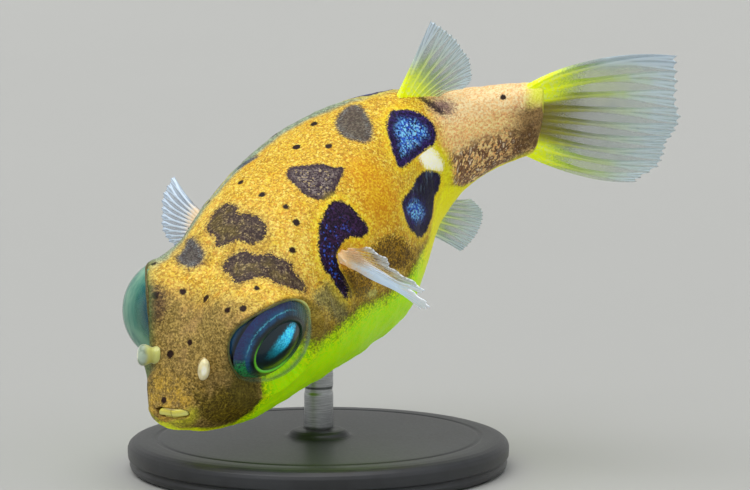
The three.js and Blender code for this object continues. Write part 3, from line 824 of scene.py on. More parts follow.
def left_turn(angle):
    """Degrees above the widest line on either side: 0 at the side, 90 on the back, -90 on the belly."""
    turn = full_turn(angle)
    return np.where(turn > 90, 180.0 - turn, turn)


def skin_relief(points, at, angle, lips):
    """Height to add along the normal, in millimetres: soft swells, fin lobes, gill slit, folds, and fine
    grain that fades inside the mouth."""
    left = left_turn(angle)
    height = 0.020 * ripple(points, 1.5, 3) + 0.009 * ripple(points, 0.55, 4)
    height += 0.0045 * ripple(points, 0.24, 5, 14)
    for turned_to in (list, mirrored):
        gap, along = to_line(points, turned_to(GILL_SLIT))
        taper = smooth_step(along, 0.0, 0.2) * smooth_step(along, 1.0, 0.75)
        height -= 0.24 * taper * hump(gap, 0, 0.1)
        height += 0.07 * hump(gap, 0.22, 0.16) * (0.4 + 0.6 * taper)
        lobe = on_skin(*turned_to([FIN_LOBE])[0])
        height += 0.42 * np.exp(-(np.linalg.norm(points - lobe, axis=-1) / 0.52) ** 2.6)
        gap, along = to_line(points, turned_to(CHEEK_FOLD))
        height -= 0.05 * hump(gap, 0, 0.12) * smooth_step(along, 0, 0.3) * smooth_step(along, 1, 0.7)
    rear = smooth_step(at, 18.3, 19.3) * smooth_step(at, 24.2, 22.5)
    wrinkle = np.sin(at * 2 * math.pi / 0.42 + 1.6 * ripple(points, 1.1, 8) + left * 0.045)
    height += 0.020 * rear * hump(left, -6, 26) * wrinkle
    under = smooth_step(left, -18, -45) * smooth_step(at, 1.5, 4) * smooth_step(at, 18, 14)
    height += 0.012 * under * np.sin(left * 0.62 + 1.3 * ripple(points, 1.6, 9))
    lip_fold = hump(lips, 0.2, 0.05) * (0.5 + 0.5 * ripple(points, 0.7, 11))
    crease = np.sin(angle * 23 + 1.2 * ripple(points, 0.5, 10)) * hump(lips, 0.08, 0.07)
    return (height - 0.02 * lip_fold + 0.008 * crease) * smooth_step(lips, -0.02, 0.06)


def skin_fields(points, at, angle, lips):
    """What the skin's shader needs: the place along and round the body, how far inside the lips, and
    distances to edges and markings in millimetres."""
    left = left_turn(angle)
    edge, far = (np.interp(at, *np.transpose(line)) for line in (LIME_EDGE, FAR_EDGE))
    girth = np.interp(at, *np.transpose(MM_PER_DEGREE))
    freckles = np.minimum.reduce([
        np.linalg.norm(points - on_skin(station, degrees), axis=-1) - radius
        for station, degrees, radius in FRECKLES
    ])
    lids = []
    for side in (1, -1):
        distance, from_axis, azimuth = about_eye(points, side)
        gap = (from_axis - window_angle(azimuth, side)) * math.radians(EYE_RADIUS)
        lids.append(np.where(distance < EYE_RADIUS + 1.2, gap, 3.0))
    fields = {
        "station": at, "height": np.sin(angle), "across": np.cos(angle), "lips": lips,
        "low_side": (edge - left) * girth, "far_side": (full_turn(angle) - far) * girth,
        "freckle": freckles, "lid": np.minimum(*lids), "right_lid": lids[1],
        "gill": np.minimum(*(to_line(points, line)[0] for line in both_sides(GILL_SLIT))),
    }
    for name, outlines in MARKS.items():
        fields[name] = np.minimum.reduce([to_outline(points, outline) for outline in outlines])
    return fields


def settings():
    """The scene's own copy of the sizes and colours that a user may change."""
    return bpy.context.scene.pufferfish


class Coat(Finish):
    """The skin's finish: what its zones share, and a method for each zone that returns its layers as
    (share, colour) pairs. Drift, blot and dust are the large, middle and fine noise about zero."""

    def __init__(self):
        super().__init__("puffer_skin")
        s = self.s = settings()
        self.at, self.height, self.low = self.fields("station", "height", "low_side")
        self.grain = self.part(self.cells(s.grain_size), 0)
        self.fleck = self.part(self.cells(s.grain_size * 1.15), 1)
        self.cloud = self.noise(1.3, 3.0, 0.6)
        self.patch = self.noise(0.45, 3.0, 0.6)
        self.fine = self.noise(0.10, 4.0, 0.7)
        self.drift, self.blot, self.dust = self.cloud - 0.5, self.patch - 0.5, self.fine - 0.5
        self.jitter = self.dust * 0.32 + (self.grain - 0.5) * 0.12 + self.blot * 0.14
        self.tone = self.grain * 0.55 + self.fine * 0.45 + self.blot * 0.5
        self.fibres = self.stretched(1.0, 1.0, 0.16)
        self.tan = self.mix(self.cloud.step(0.48, 0.7) * 0.4, self.grained(s.tan_dark, s.tan), s.pink)
        self.olive = self.grained(s.olive_dark, s.olive)
        self.below = self.mark("low_side", 1.6, -0.16, 0.18, 0.5)
        self.yellow = self.mark("yellow", 1.5, 0.3, -0.25, 0.3)
        self.cream = self.mark("cream", 1.3, 0.14, -0.16)

    def grained(self, dark, light, low=0.2, high=0.8):
        """Light grains with dark gaps; low and high set how sharply they part."""
        return self.mix(self.tone.step(low, high), dark, light)

    def mark(self, name, rough, outer, inner, wander=0.0):
        """The share of a marking, from 0 at its outer distance to 1 at its inner one. The grains break
        its edge as much as rough says, and it wanders with the drift."""
        edge = self.field(name) + self.jitter * rough
        if wander:
            edge = edge + self.drift * wander
        return edge.step(outer, inner)

    def ground(self):
        """Gold flanks, a tan forehead and a brown snout with a warm patch above the mouth."""
        s, at, height, drift = self.s, self.at, self.height, self.drift
        above_lip = (at + drift * 0.5).step(1.55, 0.8) * height.step(0.35, 0.8)
        return self.layered(
            self.grained(s.gold_dark, s.gold),
            (self.fleck.step(0.78, 0.97) * 0.5, s.gold_pale),
            (self.cloud.step(0.5, 0.72) * 0.45, s.gold_rich),
            ((self.field("warm") + drift * 1.2).step(0.5, -0.6) * 0.75, s.gold_rich),
            ((at + drift * 2.5).step(10.5, 8.0) * self.patch.step(0.35, 0.65) * 0.3, s.gold_pale),
            ((at - height * 0.6 + drift * 1.6).step(4.3, 2.6), self.tan),
            ((at + drift * 1.2).step(2.6, 1.3) * 0.75, self.grained(s.snout_dark, s.snout)),
            (above_lip * (self.patch * 0.6 + self.fine * 0.4).step(0.36, 0.66) * 0.62, s.snout_gold))

    def cheeks(self):
        """Olive sides of the snout and border of the belly, and the grey-green cheek with its fibres."""
        s, at = self.s, self.at
        border = (self.low + self.drift * 0.9 + self.blot * 0.5).step(-0.95, 0.1)
        border = border * at.step(4.6, 6.0) * at.step(17.5, 14.5)
        fibre = self.noise(0.12, 2.0, 0.6, self.fibres)
        return [
            (self.mark("snout_side", 1.8, 0.22, -0.3, 0.5) * 0.92, self.olive),
            (border * 0.75, self.olive),
            (self.mark("cheek", 1.6, 0.3, -0.3) * 0.8, self.grained(s.cheek_dark, s.cheek)),
            (self.mark("cheek", 1.0, 0.25, -0.2) * fibre.step(0.54, 0.66) * 0.5, s.slate_dark),
        ]

    def tail_stalk(self):
        """Pale grains, with dark and pale streaks low down and a lighter top."""
        s, at = self.s, self.at
        rise = self.height + self.drift * 0.5
        streak = self.noise(0.22, 3.0, 0.7, self.stretched(1.0, 1.0, 0.35))
        low_stalk = at.step(18.8, 19.8) * rise.step(0.36, 0.0)
        return [
            ((at + self.drift * 1.2).step(18.9, 20.2), self.grained(s.rear_dark, s.rear)),
            (low_stalk * streak.step(0.42, 0.52) * 0.95, s.rear_streak),
            (low_stalk * streak.step(0.58, 0.66) * 0.8, s.rear_pale),
            (at.step(19.0, 20.2) * rise.step(0.5, 0.85) * 0.25, s.rear_pale),
        ]

    def far_rim_highlight(self):
        """The green far side of the back, lightened to teal as a painted highlight along the far rim."""
        # Painted highlight: the far flank near the rim, seen at a slant, is painted a light green-teal.
        far = (self.field("far_side") + self.blot * 0.5).step(-0.15, 0.6)
        far = far * self.at.step(4.0, 5.5) * self.at.step(20.0, 17.5)
        far = far * self.field("across").step(-0.98, -0.75)
        return [(far * 0.8, self.grained(self.s.back_green_dark, self.s.back_green))]

    def belly(self):
        """Lime below its ragged edge, yellower at both ends, with the yellow rear and the pale skin
        under the pectoral fins."""
        s, at, low, drift = self.s, self.at, self.low, self.drift
        mottle = (low + drift * 0.5).step(1.0, 0.05) * (self.patch * 0.5 + self.fine * 0.5).step(0.5, 0.6)
        lime = self.layered(
            self.mix(self.fleck.step(0.25, 0.75), s.lime_dark, s.lime),
            ((low + drift * 0.6).step(0.0, 0.9), s.lime_bright),
            ((self.patch * 0.6 + self.fine * 0.4).step(0.52, 0.3) * 0.5, s.lime_dark),
            ((at + drift * 2.0).step(12.5, 17.5), s.belly_yellow),
            (at.step(2.8, 0.8) * 0.6, s.belly_yellow),
            (mottle * at.step(17.5, 15.5) * 0.5, self.olive))
        return [
            (self.below, lime),
            (self.yellow * 0.85, s.belly_yellow),
            (self.mark("pale", 1.6, 0.1, -0.16) * 0.6, s.lid),
        ]

    def blotches(self):
        """Amber patches behind the pectoral fin, brown, mauve and slate blotches, and the smudges
        behind the dorsal fin."""
        s, cloud, patch, fleck, jitter = self.s, self.cloud, self.patch, self.fleck, self.jitter
        amber = self.grained(s.amber_dark, s.amber, 0.4, 0.7)
        brown_edge, mauve_edge, slate_edge = self.fields("brown", "mauve", "slate")
        nape = (brown_edge.at_most(slate_edge) + self.blot * 0.7).step(0.5, 0.0) * self.at.step(9.0, 8.4)
        brown = self.layered(
            self.grained(s.brown_dark, s.brown, 0.36, 0.92),
            (fleck.step(0.84, 0.96) * brown_edge.step(0.0, -0.3) * 0.35, s.brown_pale),
            (cloud.step(0.45, 0.62) * brown_edge.step(-0.05, -0.3) * 0.4, s.olive),
            ((cloud + patch * 0.4).step(0.66, 0.5) * 0.6, s.brown_dark),
            ((brown_edge + jitter * 0.8).step(-0.3, -0.05) * patch.step(0.4, 0.55) * 0.6, s.mauve_dark))
        mauve = self.layered(
            self.grained(s.mauve_dark, s.mauve, 0.35, 0.75),
            (fleck.step(0.84, 0.96) * mauve_edge.step(0.0, -0.3) * 0.45, s.brown_pale),
            ((mauve_edge + jitter * 0.9 + self.blot * 0.2).step(-0.34, -0.08) * 0.8, s.mauve_dark))
        slate = self.mix((slate_edge + self.drift * 0.4).step(-0.12, -0.45) * 0.75,
                         self.grained(s.slate_dark, s.slate, 0.35, 0.75), s.slate_dark)
        return [
            (self.mark("amber", 1.6, 0.2, -0.22) * 0.9, amber),
            (self.mark("olive", 1.2, 0.12, -0.12) * 0.85, amber),
            (nape * 0.5, self.tan),
            (self.mark("brown", 1.3, 0.09, -0.07), brown),
            (self.mark("haze", 1.6, 0.3, -0.35) * 0.8, s.violet_brown),
            (self.mark("smudge", 1.0, 0.1, -0.12) * 0.85, s.plum_dark),
            (self.mark("mauve", 0.6, 0.06, -0.06), mauve),
            (self.mark("slate", 1.0, 0.16, -0.12) * 0.88, slate),
            (self.mark("brow", 1.6, 0.25, -0.3) * 0.8, self.grained(s.brown_dark, s.brow)),
        ]

    def side_spots(self):
        """The plum shoulder mark, and the navy spots with blue middles, violet rims and a striped black
        part, with a bright halo round them and a cream patch between the spots. The blue sparks in the
        plum mark and the blue middles, flecks and pale beads of the navy spots are painted glints."""
        s, at, height, fleck = self.s, self.at, self.height, self.fleck
        plum_edge, navy_edge, glint = self.fields("plum", "navy", "glint")
        halo = plum_edge.at_most(navy_edge) + self.blot * 0.3
        # Painted glints: blue sparks in the plum mark.
        spark = fleck.step(0.84, 0.97) * plum_edge.step(-0.04, -0.2)
        spark = spark * (at - self.drift * 2.0).step(10.6, 9.2) * 0.6
        plum = self.mix(spark, self.grained(s.plum_dark, s.plum, 0.3, 0.85), s.blue)
        # Painted glints: the bright blue middles of the navy spots, with flecks and pale beads.
        painted_glint_core = glint - height.step(0.6, 0.3) * 0.22 + self.drift * 0.45 + self.blot * 0.3
        painted_glint_core = painted_glint_core.step(-0.25, -0.8)
        bead = self.part(self.cells(s.grain_size * 1.1), 2).step(0.92, 0.98)
        rim = (navy_edge + self.blot * 0.25 + self.jitter * 0.5).step(-0.6, -0.14)
        stripe = self.noise(0.13, 2.0, 0.5, self.fibres).step(0.5, 0.68) * height.step(0.0, 0.2)
        navy = self.layered(
            self.grained(s.navy_dark, s.navy, 0.2, 0.9),
            (painted_glint_core * self.tone.step(0.2, 0.62), s.blue),
            (painted_glint_core * fleck.step(0.45, 0.85) * 0.8, s.blue_spark),
            (painted_glint_core * bead * 0.5, s.fin_tip),
            (rim * 0.8, self.grained(s.navy_dark, s.violet)),
            (self.mark("glint", 1.0, -0.02, 0.25) * 0.75, self.mix(stripe * 0.5, s.navy_dark, s.fin_blue)))
        return [
            (halo.step(0.5, 0.05) * at.step(19.2, 18.4) * 0.45, s.gold_bright),
            (self.mark("plum", 0.8, 0.06, -0.06), plum),
            (self.mark("navy", 0.8, 0.06, -0.07), navy),
            (self.cream * navy_edge.step(0.0, 0.08) * 0.9, s.cream),
        ]

    def small_parts(self):
        """Freckles, the colours at the tail fin's root, painted shade and the clear margin round the eyes,
        lips, painted shadow inside the mouth and painted shade in the gill slit.
        """
        s, at, height = self.s, self.at, self.height
        lid, right_lid, lips = self.fields("lid", "right_lid", "lips")
        rise = height + self.blot * 0.4
        root = (at + self.dust * 0.8 + self.blot).step(22.4, 23.7) * rise.step(0.85, 0.5)
        ragged = at + self.dust * 0.6
        return [
            (self.mark("freckle", 0.25, 0.1, 0.02), s.freckle),
            (root * rise.step(-0.75, -0.35) * 0.8, s.root_brown),
            (ragged.step(23.2, 24.1) * height.step(0.5, 0.85) * 0.7, s.fin_yellow),
            (ragged.step(22.6, 23.9) * height.step(-0.5, -0.8) * 0.7, s.belly_yellow),
            # Painted shade round the eyes, weaker on the belly.
            ((lid + self.blot * 0.2).step(0.3, 0.0) * (1.0 - self.below) * 0.45, s.lid_shade),
            ((right_lid + self.blot * 0.25).step(0.55, 0.0) * height.step(1.0, 0.9) * 0.75, s.margin),
            ((lips + self.dust * 0.08).step(0.46, 0.1) * height.step(0.7, 0.2) * 0.8, s.lip),
            # Painted shadow inside the mouth.
            ((lips + self.dust * 0.02).step(0.02, -0.02) * 0.75, s.mouth_shadow_and_seam),
            # Painted shade in the gill slit.
            (self.field("gill").step(0.12, 0.02) * 0.85, s.plum_dark),
        ]

    def glow(self):
        """Painted glow, given as emission, where light passes through thin flesh: the belly, yellow rear,
        stalk and cream.
        """
        stalk = self.at.step(18.6, 19.8) * (0.15 + self.height.step(0.95, 0.5) * 0.4)
        belly = (self.low + self.drift * 0.5).step(-0.1, 0.3) * 0.8
        return belly.at_least(self.yellow * 0.3).at_least(stalk).at_least(self.cream * 0.8)


def skin_material():
    """Granular skin: the ground, the zones' layers over it, and a speckle of the finest grains that is
    weaker on the belly. The relief is a grain bump under a fine one."""
    coat = Coat()
    skin = coat.layered(coat.ground(), *coat.cheeks(), *coat.tail_stalk(), *coat.far_rim_highlight(), *coat.belly(),
                        *coat.blotches(), *coat.side_spots(), *coat.small_parts())
    speckle = (coat.fine * 0.6 + coat.fleck * 0.4).step(0.3, 0.7)
    smooth = (coat.low + coat.drift * 0.6).step(0.3, 1.2)
    skin = coat.mix(0.34 - smooth * 0.24, skin, speckle, "OVERLAY")
    middle = coat.cells(coat.s.grain_size * 1.3, "Distance")
    relief = coat.bump(1.0 - middle.step(0.0, 0.8), coat.s.grain_relief, 0.6)
    relief = coat.bump(coat.fine, 0.02, 0.5, relief)
    # The emission is a painted glow of the skin's own colour, where the flesh is thin.
    return coat.surface(
        Base_Color=skin, Roughness=0.42 + coat.grain * 0.12 + coat.cloud * 0.08, Normal=relief,
        Subsurface_Weight=0.12, Subsurface_Scale=0.00025, Subsurface_Radius=(1.0, 0.9, 0.5),
        Coat_Weight=0.06, Coat_Roughness=0.15, Specular_IOR_Level=0.14, Sheen_Weight=0.05,
        Sheen_Roughness=0.15, Sheen_Tint=(*tint(176, 214, 190), 1.0),
        Emission_Color=coat.mix(coat.glow(), (0.0, 0.0, 0.0), skin), Emission_Strength=0.22)


def build_skin():
    """One skin from inside the mouth to the tail root."""
    points, at, angle, lips, front, back = skin_rows()
    fields = skin_fields(points, at, angle, lips)
    raised = points + row_normals(points) * skin_relief(points, at, angle, lips)[..., None]
    return loft("skin", to_stand(open_sockets(raised)), to_stand(front), to_stand(back), fields)


# ---- Eyes ----

def in_eye(side, radius, azimuth, rise):
    """A point at a radius and azimuth about an eye's axis and a rise along it from the centre."""
    centre, axis, ahead, up = eye_frame(side)
    ring = ahead * np.cos(azimuth)[..., None] + up * np.sin(azimuth)[..., None]
    return centre + ring * radius[..., None] + axis * rise[..., None]


def eye_loft(name, side, radius, rise, first, last, fields):
    """A closed skin over rings given as radius and rise about an eye's axis, with its end points on the
    axis. The columns turn the other way round on the right eye, whose frame is mirrored, so that faces
    stay outward."""
    azimuth = round_angles(radius.shape[1])[None]
    rings = in_eye(side, radius, np.broadcast_to(azimuth, radius.shape), rise)
    order = slice(None, None, 1 if side < 0 else -1)
    fields = {key: value[:, order] for key, value in fields.items()}
    centre, axis = eye_frame(side)[:2]
    ends = (to_stand(centre + axis * spot) for spot in (first, last))
    return loft(name, to_stand(rings[:, order]), *ends, fields)


EYE_COLUMNS = 192
# Radii about an eye's axis: the lens, the green ring and the iris. The wall is on a sphere.
LENS, RING, IRIS, WALL = 1.2, 1.38, 2.02, 2.17
LENS_TOP, IRIS_TOP = 1.66, 1.36


def build_iris(side, label):
    """Lens, green ring, iris and the pale wall behind the clear margin, as one closed turned form: a
    profile of (radius, rise), then rings on a sphere out to the lids and two tucked in behind it."""
    azimuth = round_angles(EYE_COLUMNS)[None]
    r = np.concatenate([
        np.linspace(0.03, LENS, 30), np.linspace(1.22, RING, 14), np.linspace(1.4, IRIS, 34),
    ])
    lens = LENS_TOP - 0.30 * (r / LENS) ** 2
    ring = IRIS_TOP + 0.05 * np.sin(np.clip((r - LENS) / 0.18, 0, 1) * math.pi)
    iris = IRIS_TOP - 0.46 * np.clip((r - RING) / 0.64, 0, 1) ** 1.25
    rise = np.where(r <= LENS, lens, np.where(r <= RING, ring, iris))
    shape = (len(r), EYE_COLUMNS)
    radius, rise = np.broadcast_to(r[:, None], shape), np.broadcast_to(rise[:, None], shape)
    fibre = np.sin(azimuth * 46 + 2.1 * np.sin(azimuth * 5) + radius * 3) * smooth_step(radius, 1.4, 1.6)
    rise = rise + 0.010 * fibre * smooth_step(radius, IRIS, 1.9)
    start = math.degrees(math.atan2(2.06, 0.86))
    share = np.linspace(0, 1, 22)[:, None]
    reach = start + (window_angle(azimuth, side) + 9.0 - start) * share
    ball = WALL + 0.02 * (1 - share)
    wall_radius, wall_rise = ball * np.sin(np.radians(reach)), ball * np.cos(np.radians(reach))
    tuck = np.array([0.9, 0.6])[:, None]
    back_radius, back_rise = wall_radius[-1:] * tuck, wall_rise[-1:] * tuck - 0.1
    radius = np.concatenate([radius, wall_radius, back_radius])
    rise = np.concatenate([rise, wall_rise, back_rise])
    turn = np.broadcast_to(azimuth, radius.shape)
    reach = np.concatenate([r, np.linspace(2.1, 3.0, len(share)), [3.1, 3.2]])[:, None]
    fields = {"reach": reach + 0 * radius, "ahead": np.cos(turn), "upward": np.sin(turn)}
    return eye_loft("iris_" + label, side, radius, rise, LENS_TOP, back_rise.mean(), fields)


def build_cornea(side, label):
    """A clear shell over the eye: an outer sphere from the pole to under the lids, and back along an
    inner sphere."""
    azimuth = round_angles(128)[None]
    share = np.linspace(0.02, 1, 30)[:, None]
    reach = np.radians((window_angle(azimuth, side) + 5.0) * share)
    outer, inner = EYE_RADIUS + 0.01, EYE_RADIUS - 0.05
    radius = np.concatenate([outer * np.sin(reach), inner * np.sin(reach[::-1])])
    rise = np.concatenate([outer * np.cos(reach), inner * np.cos(reach[::-1])])
    fields = {"fill": np.full(radius.shape, 0.0 if side > 0 else 1.0)}
    return eye_loft("cornea_" + label, side, radius, rise, outer, inner, fields)


def build_lid(side, label):
    """The thin raised rim of the lids: a small flattened tube carried round the bare part of the ball
    and joined to itself."""
    azimuth = round_angles(260)[:, None]
    around = round_angles(14)[None]
    thick = 0.040 + 0.007 * np.sin(azimuth * 7 + 1.0) + 0.005 * np.sin(azimuth * 19)
    reach = window_angle(azimuth, side) + 1.2 + np.degrees(1.5 * thick * np.cos(around) / EYE_RADIUS)
    reach = np.radians(reach)
    ball = EYE_RADIUS + 0.018 + thick * np.sin(around)
    turn = np.broadcast_to(azimuth, reach.shape)
    rings = in_eye(side, ball * np.sin(reach), turn, ball * np.cos(reach))
    count, sides = reach.shape
    i, j = np.meshgrid(np.arange(count), np.arange(sides), indexing="ij")
    a, b = i * sides + j, i * sides + (j + 1) % sides
    c, d = ((i + 1) % count) * sides + (j + 1) % sides, ((i + 1) % count) * sides + j
    quads = np.stack([a, b, c, d], axis=-1).reshape(-1, 4)
    u0, v0, u1, v1 = i / count, j / sides, (i + 1) / count, (j + 1) / sides
    flat_map = np.stack([u0, v0, u0, v1, u1, v1, u1, v0], axis=-1).reshape(-1, 4, 2)
    if side < 0:
        quads, flat_map = quads[:, ::-1], flat_map[:, ::-1]
    fields = {"inner": np.broadcast_to(np.cos(around), turn.shape), "ahead": np.cos(turn),
              "upward": np.sin(turn)}
    return make_piece("lid_" + label, to_stand(rings.reshape(-1, 3)), quads, np.zeros((0, 3), int), fields,
                      flat_map.reshape(-1, 2))


def iris_material():
    """Iris in navy, violet and teal with thin green rings, round a dark lens with a bright reflex that is a
    painted reflection, also given off as a painted glow. Reach is the radius about the eye's axis; the
    reflex is a slanting oval in millimetres in that plane. The pale arc on the iris is a painted highlight."""
    s, f = settings(), Finish("puffer_iris")
    reach, ahead, upward = f.fields("reach", "ahead", "upward")
    fine, cloud = f.noise(0.10, 3.0, 0.7), f.noise(0.5, 2.0, 0.5)
    speck = f.part(f.cells(0.06), 0)
    grit, drift = fine - 0.5, cloud - 0.5

    def toward(azimuth):
        """1 straight towards an azimuth about the eye's axis, -1 away from it."""
        return ahead * math.cos(math.radians(azimuth)) + upward * math.sin(math.radians(azimuth))

    front_up = toward(62)
    low_side = (toward(285) + drift * 0.3).step(0.1, 0.7)
    # The reflex: a painted reflection in the lens, a slanting oval with painted gleaming flecks in it.
    ahead_mm, up_mm = ahead * reach + 0.14, upward * reach - 0.35
    long_way = ahead_mm * 0.945 - up_mm * 0.326
    short_way = ahead_mm * 0.326 + up_mm * 0.945
    reflex = long_way * long_way + short_way * short_way * 5.5
    band = (reflex + grit * 1.4 + drift * 0.5).step(1.25, 0.3)
    fade = (long_way + drift * 0.5).step(0.75, -0.5)
    gleam = (reflex + grit * 1.6).step(0.95, 0.2) * fade
    lens = f.layered(
        f.mix((short_way + grit * 0.5).step(-0.9, 0.5), s.lens_dark, s.lens),
        (band * (0.65 + speck * 0.35), f.mix(fade, s.reflex_teal, s.reflex)),
        (gleam * speck.step(0.2, 0.75) * 0.8, s.reflex_pale))

    outer = (reach + grit * 0.16).step(1.66, 1.86) * (front_up + drift * 0.3).step(0.1, 0.6)
    teal = (toward(338) + drift * 0.2).step(0.78, 0.93) * (reach + grit * 0.1).step(1.60, 1.68)
    lines = f.node("ShaderNodeMath", {"operation": "SINE"}, {0: reach * 52.0 + cloud * 6.0})
    wavy = reach + drift * 0.1
    # A thin pale arc on the iris: a painted highlight in the reflex's pale colour.
    arc = wavy.step(1.60, 1.63) * wavy.step(1.69, 1.65) * (front_up + toward(152) * 0.3).step(0.4, 0.9)
    iris = f.layered(
        f.mix((front_up + drift * 0.5).step(-0.2, 0.75), s.iris_green, s.iris_blue),
        ((cloud + grit * 0.7).step(0.62, 0.32) * 0.7, s.iris_navy),
        ((reach + grit * 0.12).step(1.56, 1.40), s.iris_dark),
        (outer, f.mix(speck.step(0.4, 0.95) * 0.5, s.iris_violet, s.iris_blue)),
        (teal, f.mix(speck.step(0.3, 0.9), s.iris_teal, s.iris_green)),
        (low_side * lines.step(0.5, 1.0) * reach.step(1.42, 1.5) * 0.55, s.ring_dark),
        (arc * fine.step(0.35, 0.6) * 0.55, s.reflex_pale))

    clear_side = (toward(285) + drift * 0.2).step(0.2, 0.8) * (reach + grit * 0.2).step(2.2, 2.5)
    wall = f.layered(
        f.mix((f.noise(0.35, 2.0, 0.5) + upward * 0.2).step(0.3, 0.7), s.margin_dark, s.margin),
        ((toward(30) + drift * 0.3).step(0.0, 0.6) * 0.9, s.iris_blue),
        ((toward(205) + drift * 0.4).step(-0.1, 0.75) * 0.9, s.iris_dark),
        ((reach + grit * 0.15).step(2.5, 2.12), s.iris_dark),
        (clear_side * 0.85, f.mix(fine.step(0.4, 0.6), s.lid, s.lime_dark)))

    ragged = reach + grit * 0.03
    bright = (toward(332) + grit * 0.5).step(-0.35, 0.75)
    ring = ragged.step(1.19, 1.23) * ragged.step(1.36, 1.28)
    ring = ring * (bright * 0.95 + 0.12 + low_side * 0.2).at_most(1.0)
    beyond = reach.step(2.0, 2.06)
    eye = f.layered(
        lens, (reach.step(1.19, 1.22), iris), (ring, f.mix(bright.step(0.2, 0.9), s.ring_dark, s.ring)),
        (beyond, wall))
    # Painted glow given off as emission: the reflex, and a faint lime glow from the clear side of the wall.
    shine = band * (0.3 + gleam * 0.6) * reach.step(1.2, 1.1) * (0.4 + fade * 0.6)
    shine = f.mix(shine, (0.0, 0.0, 0.0), s.reflex)
    shine = f.mix(clear_side * beyond * 0.25, shine, s.lime)
    return f.surface(Base_Color=eye, Roughness=0.32 + fine * 0.12, Normal=f.bump(fine, 0.012, 0.6),
                     Specular_IOR_Level=0.3, Emission_Color=shine, Emission_Strength=0.8, Coat_Weight=0.6,
                     Coat_Roughness=0.02)


def cornea_material():
    """Clear, seen only at a slant, where it turns teal with a thin pale edge that is a painted reflection.
    """
    s, f = settings(), Finish("puffer_cornea")
    slant = f.node("ShaderNodeLayerWeight", {}, {"Blend": 0.5}, "Facing")
    streak = f.noise(0.7, 3.0, 0.5, f.stretched(1.0, 1.0, 0.25))
    clear = slant.step(0.6, 0.97) * (0.30 + streak * 0.4) + slant.step(0.9, 0.98) * 0.45
    clear = clear + slant.step(0.25, 0.9) * 0.1
    filled = f.field("fill") * slant.step(0.1, 0.5) * (0.75 + streak * 0.4)
    # The thin pale edge at the steepest slant is a painted reflection.
    colour = f.layered(f.mix(streak.step(0.3, 0.7), s.cornea_dark, s.cornea),
                       (slant.step(0.87, 0.97), s.painted_cornea_rim))
    return f.surface(Base_Color=colour, Roughness=0.08, Alpha=clear.at_least(filled).at_most(0.95),
                     Specular_IOR_Level=0.4)


def lid_material():
    """Thin lid skin, pale at its inner edge and along the belly's side, which also has a painted glow."""
    s, f = settings(), Finish("puffer_lid")
    inner, upward, ahead = f.fields("inner", "upward", "ahead")
    grain = f.part(f.cells(s.grain_size), 0)
    fine = f.noise(0.2, 3.0, 0.6)
    dust = fine - 0.5
    low = (upward * -0.57 - ahead * 0.82 + dust * 0.5).step(-0.1, 0.6)
    low = low.at_least((upward * -1.0 + dust * 0.4).step(0.2, 0.8))
    skin = f.layered(
        f.mix((grain * 0.5 + fine * 0.5).step(0.3, 0.7), s.olive_dark, s.lid_shade),
        (low * 0.9, s.lid),
        ((inner + dust * 0.5).step(0.0, -0.8) * 0.5, s.margin))
    # The emission is a painted glow on the pale lower lid.
    return f.surface(Base_Color=skin, Roughness=0.35 + fine * 0.15, Normal=f.bump(grain, 0.006, 0.6),
                     Emission_Color=f.mix(low, (0.0, 0.0, 0.0), s.lid), Emission_Strength=0.25,
                     Coat_Weight=0.15, Coat_Roughness=0.15, Specular_IOR_Level=0.3)


# ---- Nostrils and beak ----

NOSTRIL_AXIS = np.array([0.62, 0.60, 0.45])
# How far along its axis each ring of a nostril is, and its half width.
NOSTRIL_RISE = [-0.16, -0.06, 0.03, 0.12, 0.22, 0.33, 0.44, 0.54, 0.62, 0.68, 0.72, 0.74, 0.735, 0.725]
NOSTRIL_WIDTH = [0.36, 0.34, 0.29, 0.27, 0.30, 0.35, 0.375, 0.37, 0.34, 0.28, 0.20, 0.12, 0.07, 0.03]


def build_nostril(side, label):
    """A flattened bulb on a short stalk with a dimpled tip: rings of an oval section along its axis,
    whose widths are a running mean of five."""
    axis = unit(NOSTRIL_AXIS * (1.0, side, 1.0))
    long_way = np.array([-0.64, 0.0, 0.75])
    long_way = unit(long_way - axis * (long_way @ axis))
    short_way = np.cross(axis, long_way)
    foot = on_skin(1.75, 59.0 if side > 0 else 121.0)
    keys = np.arange(len(NOSTRIL_RISE))
    along = np.linspace(0, keys[-1], 60)
    rise, width = np.interp(along, keys, NOSTRIL_RISE), np.interp(along, keys, NOSTRIL_WIDTH)
    width = np.convolve(np.pad(width, 2, mode="edge"), np.ones(5) / 5, "valid")
    around = round_angles(64)
    dent = 1 + 0.015 * np.sin(around * 3 + side) + 0.01 * np.sin(around * 5)
    long_part = 1.22 * np.cos(around) * dent
    short_part = (0.66 if side > 0 else 0.82) * np.sin(around) * dent
    section_ring = long_part[:, None] * long_way + short_part[:, None] * short_way
    rings = foot + rise[:, None, None] * axis + width[:, None, None] * section_ring
    fields = {"rise": rise[:, None] / 0.77, "glassy": 0.0 if side > 0 else 1.0,
              "tip": along[:, None] / keys[-1]}
    return loft("nostril_bulb_" + label, to_stand(rings), to_stand(foot + axis * rise[0]),
                to_stand(foot + axis * rise[-1]), fields)


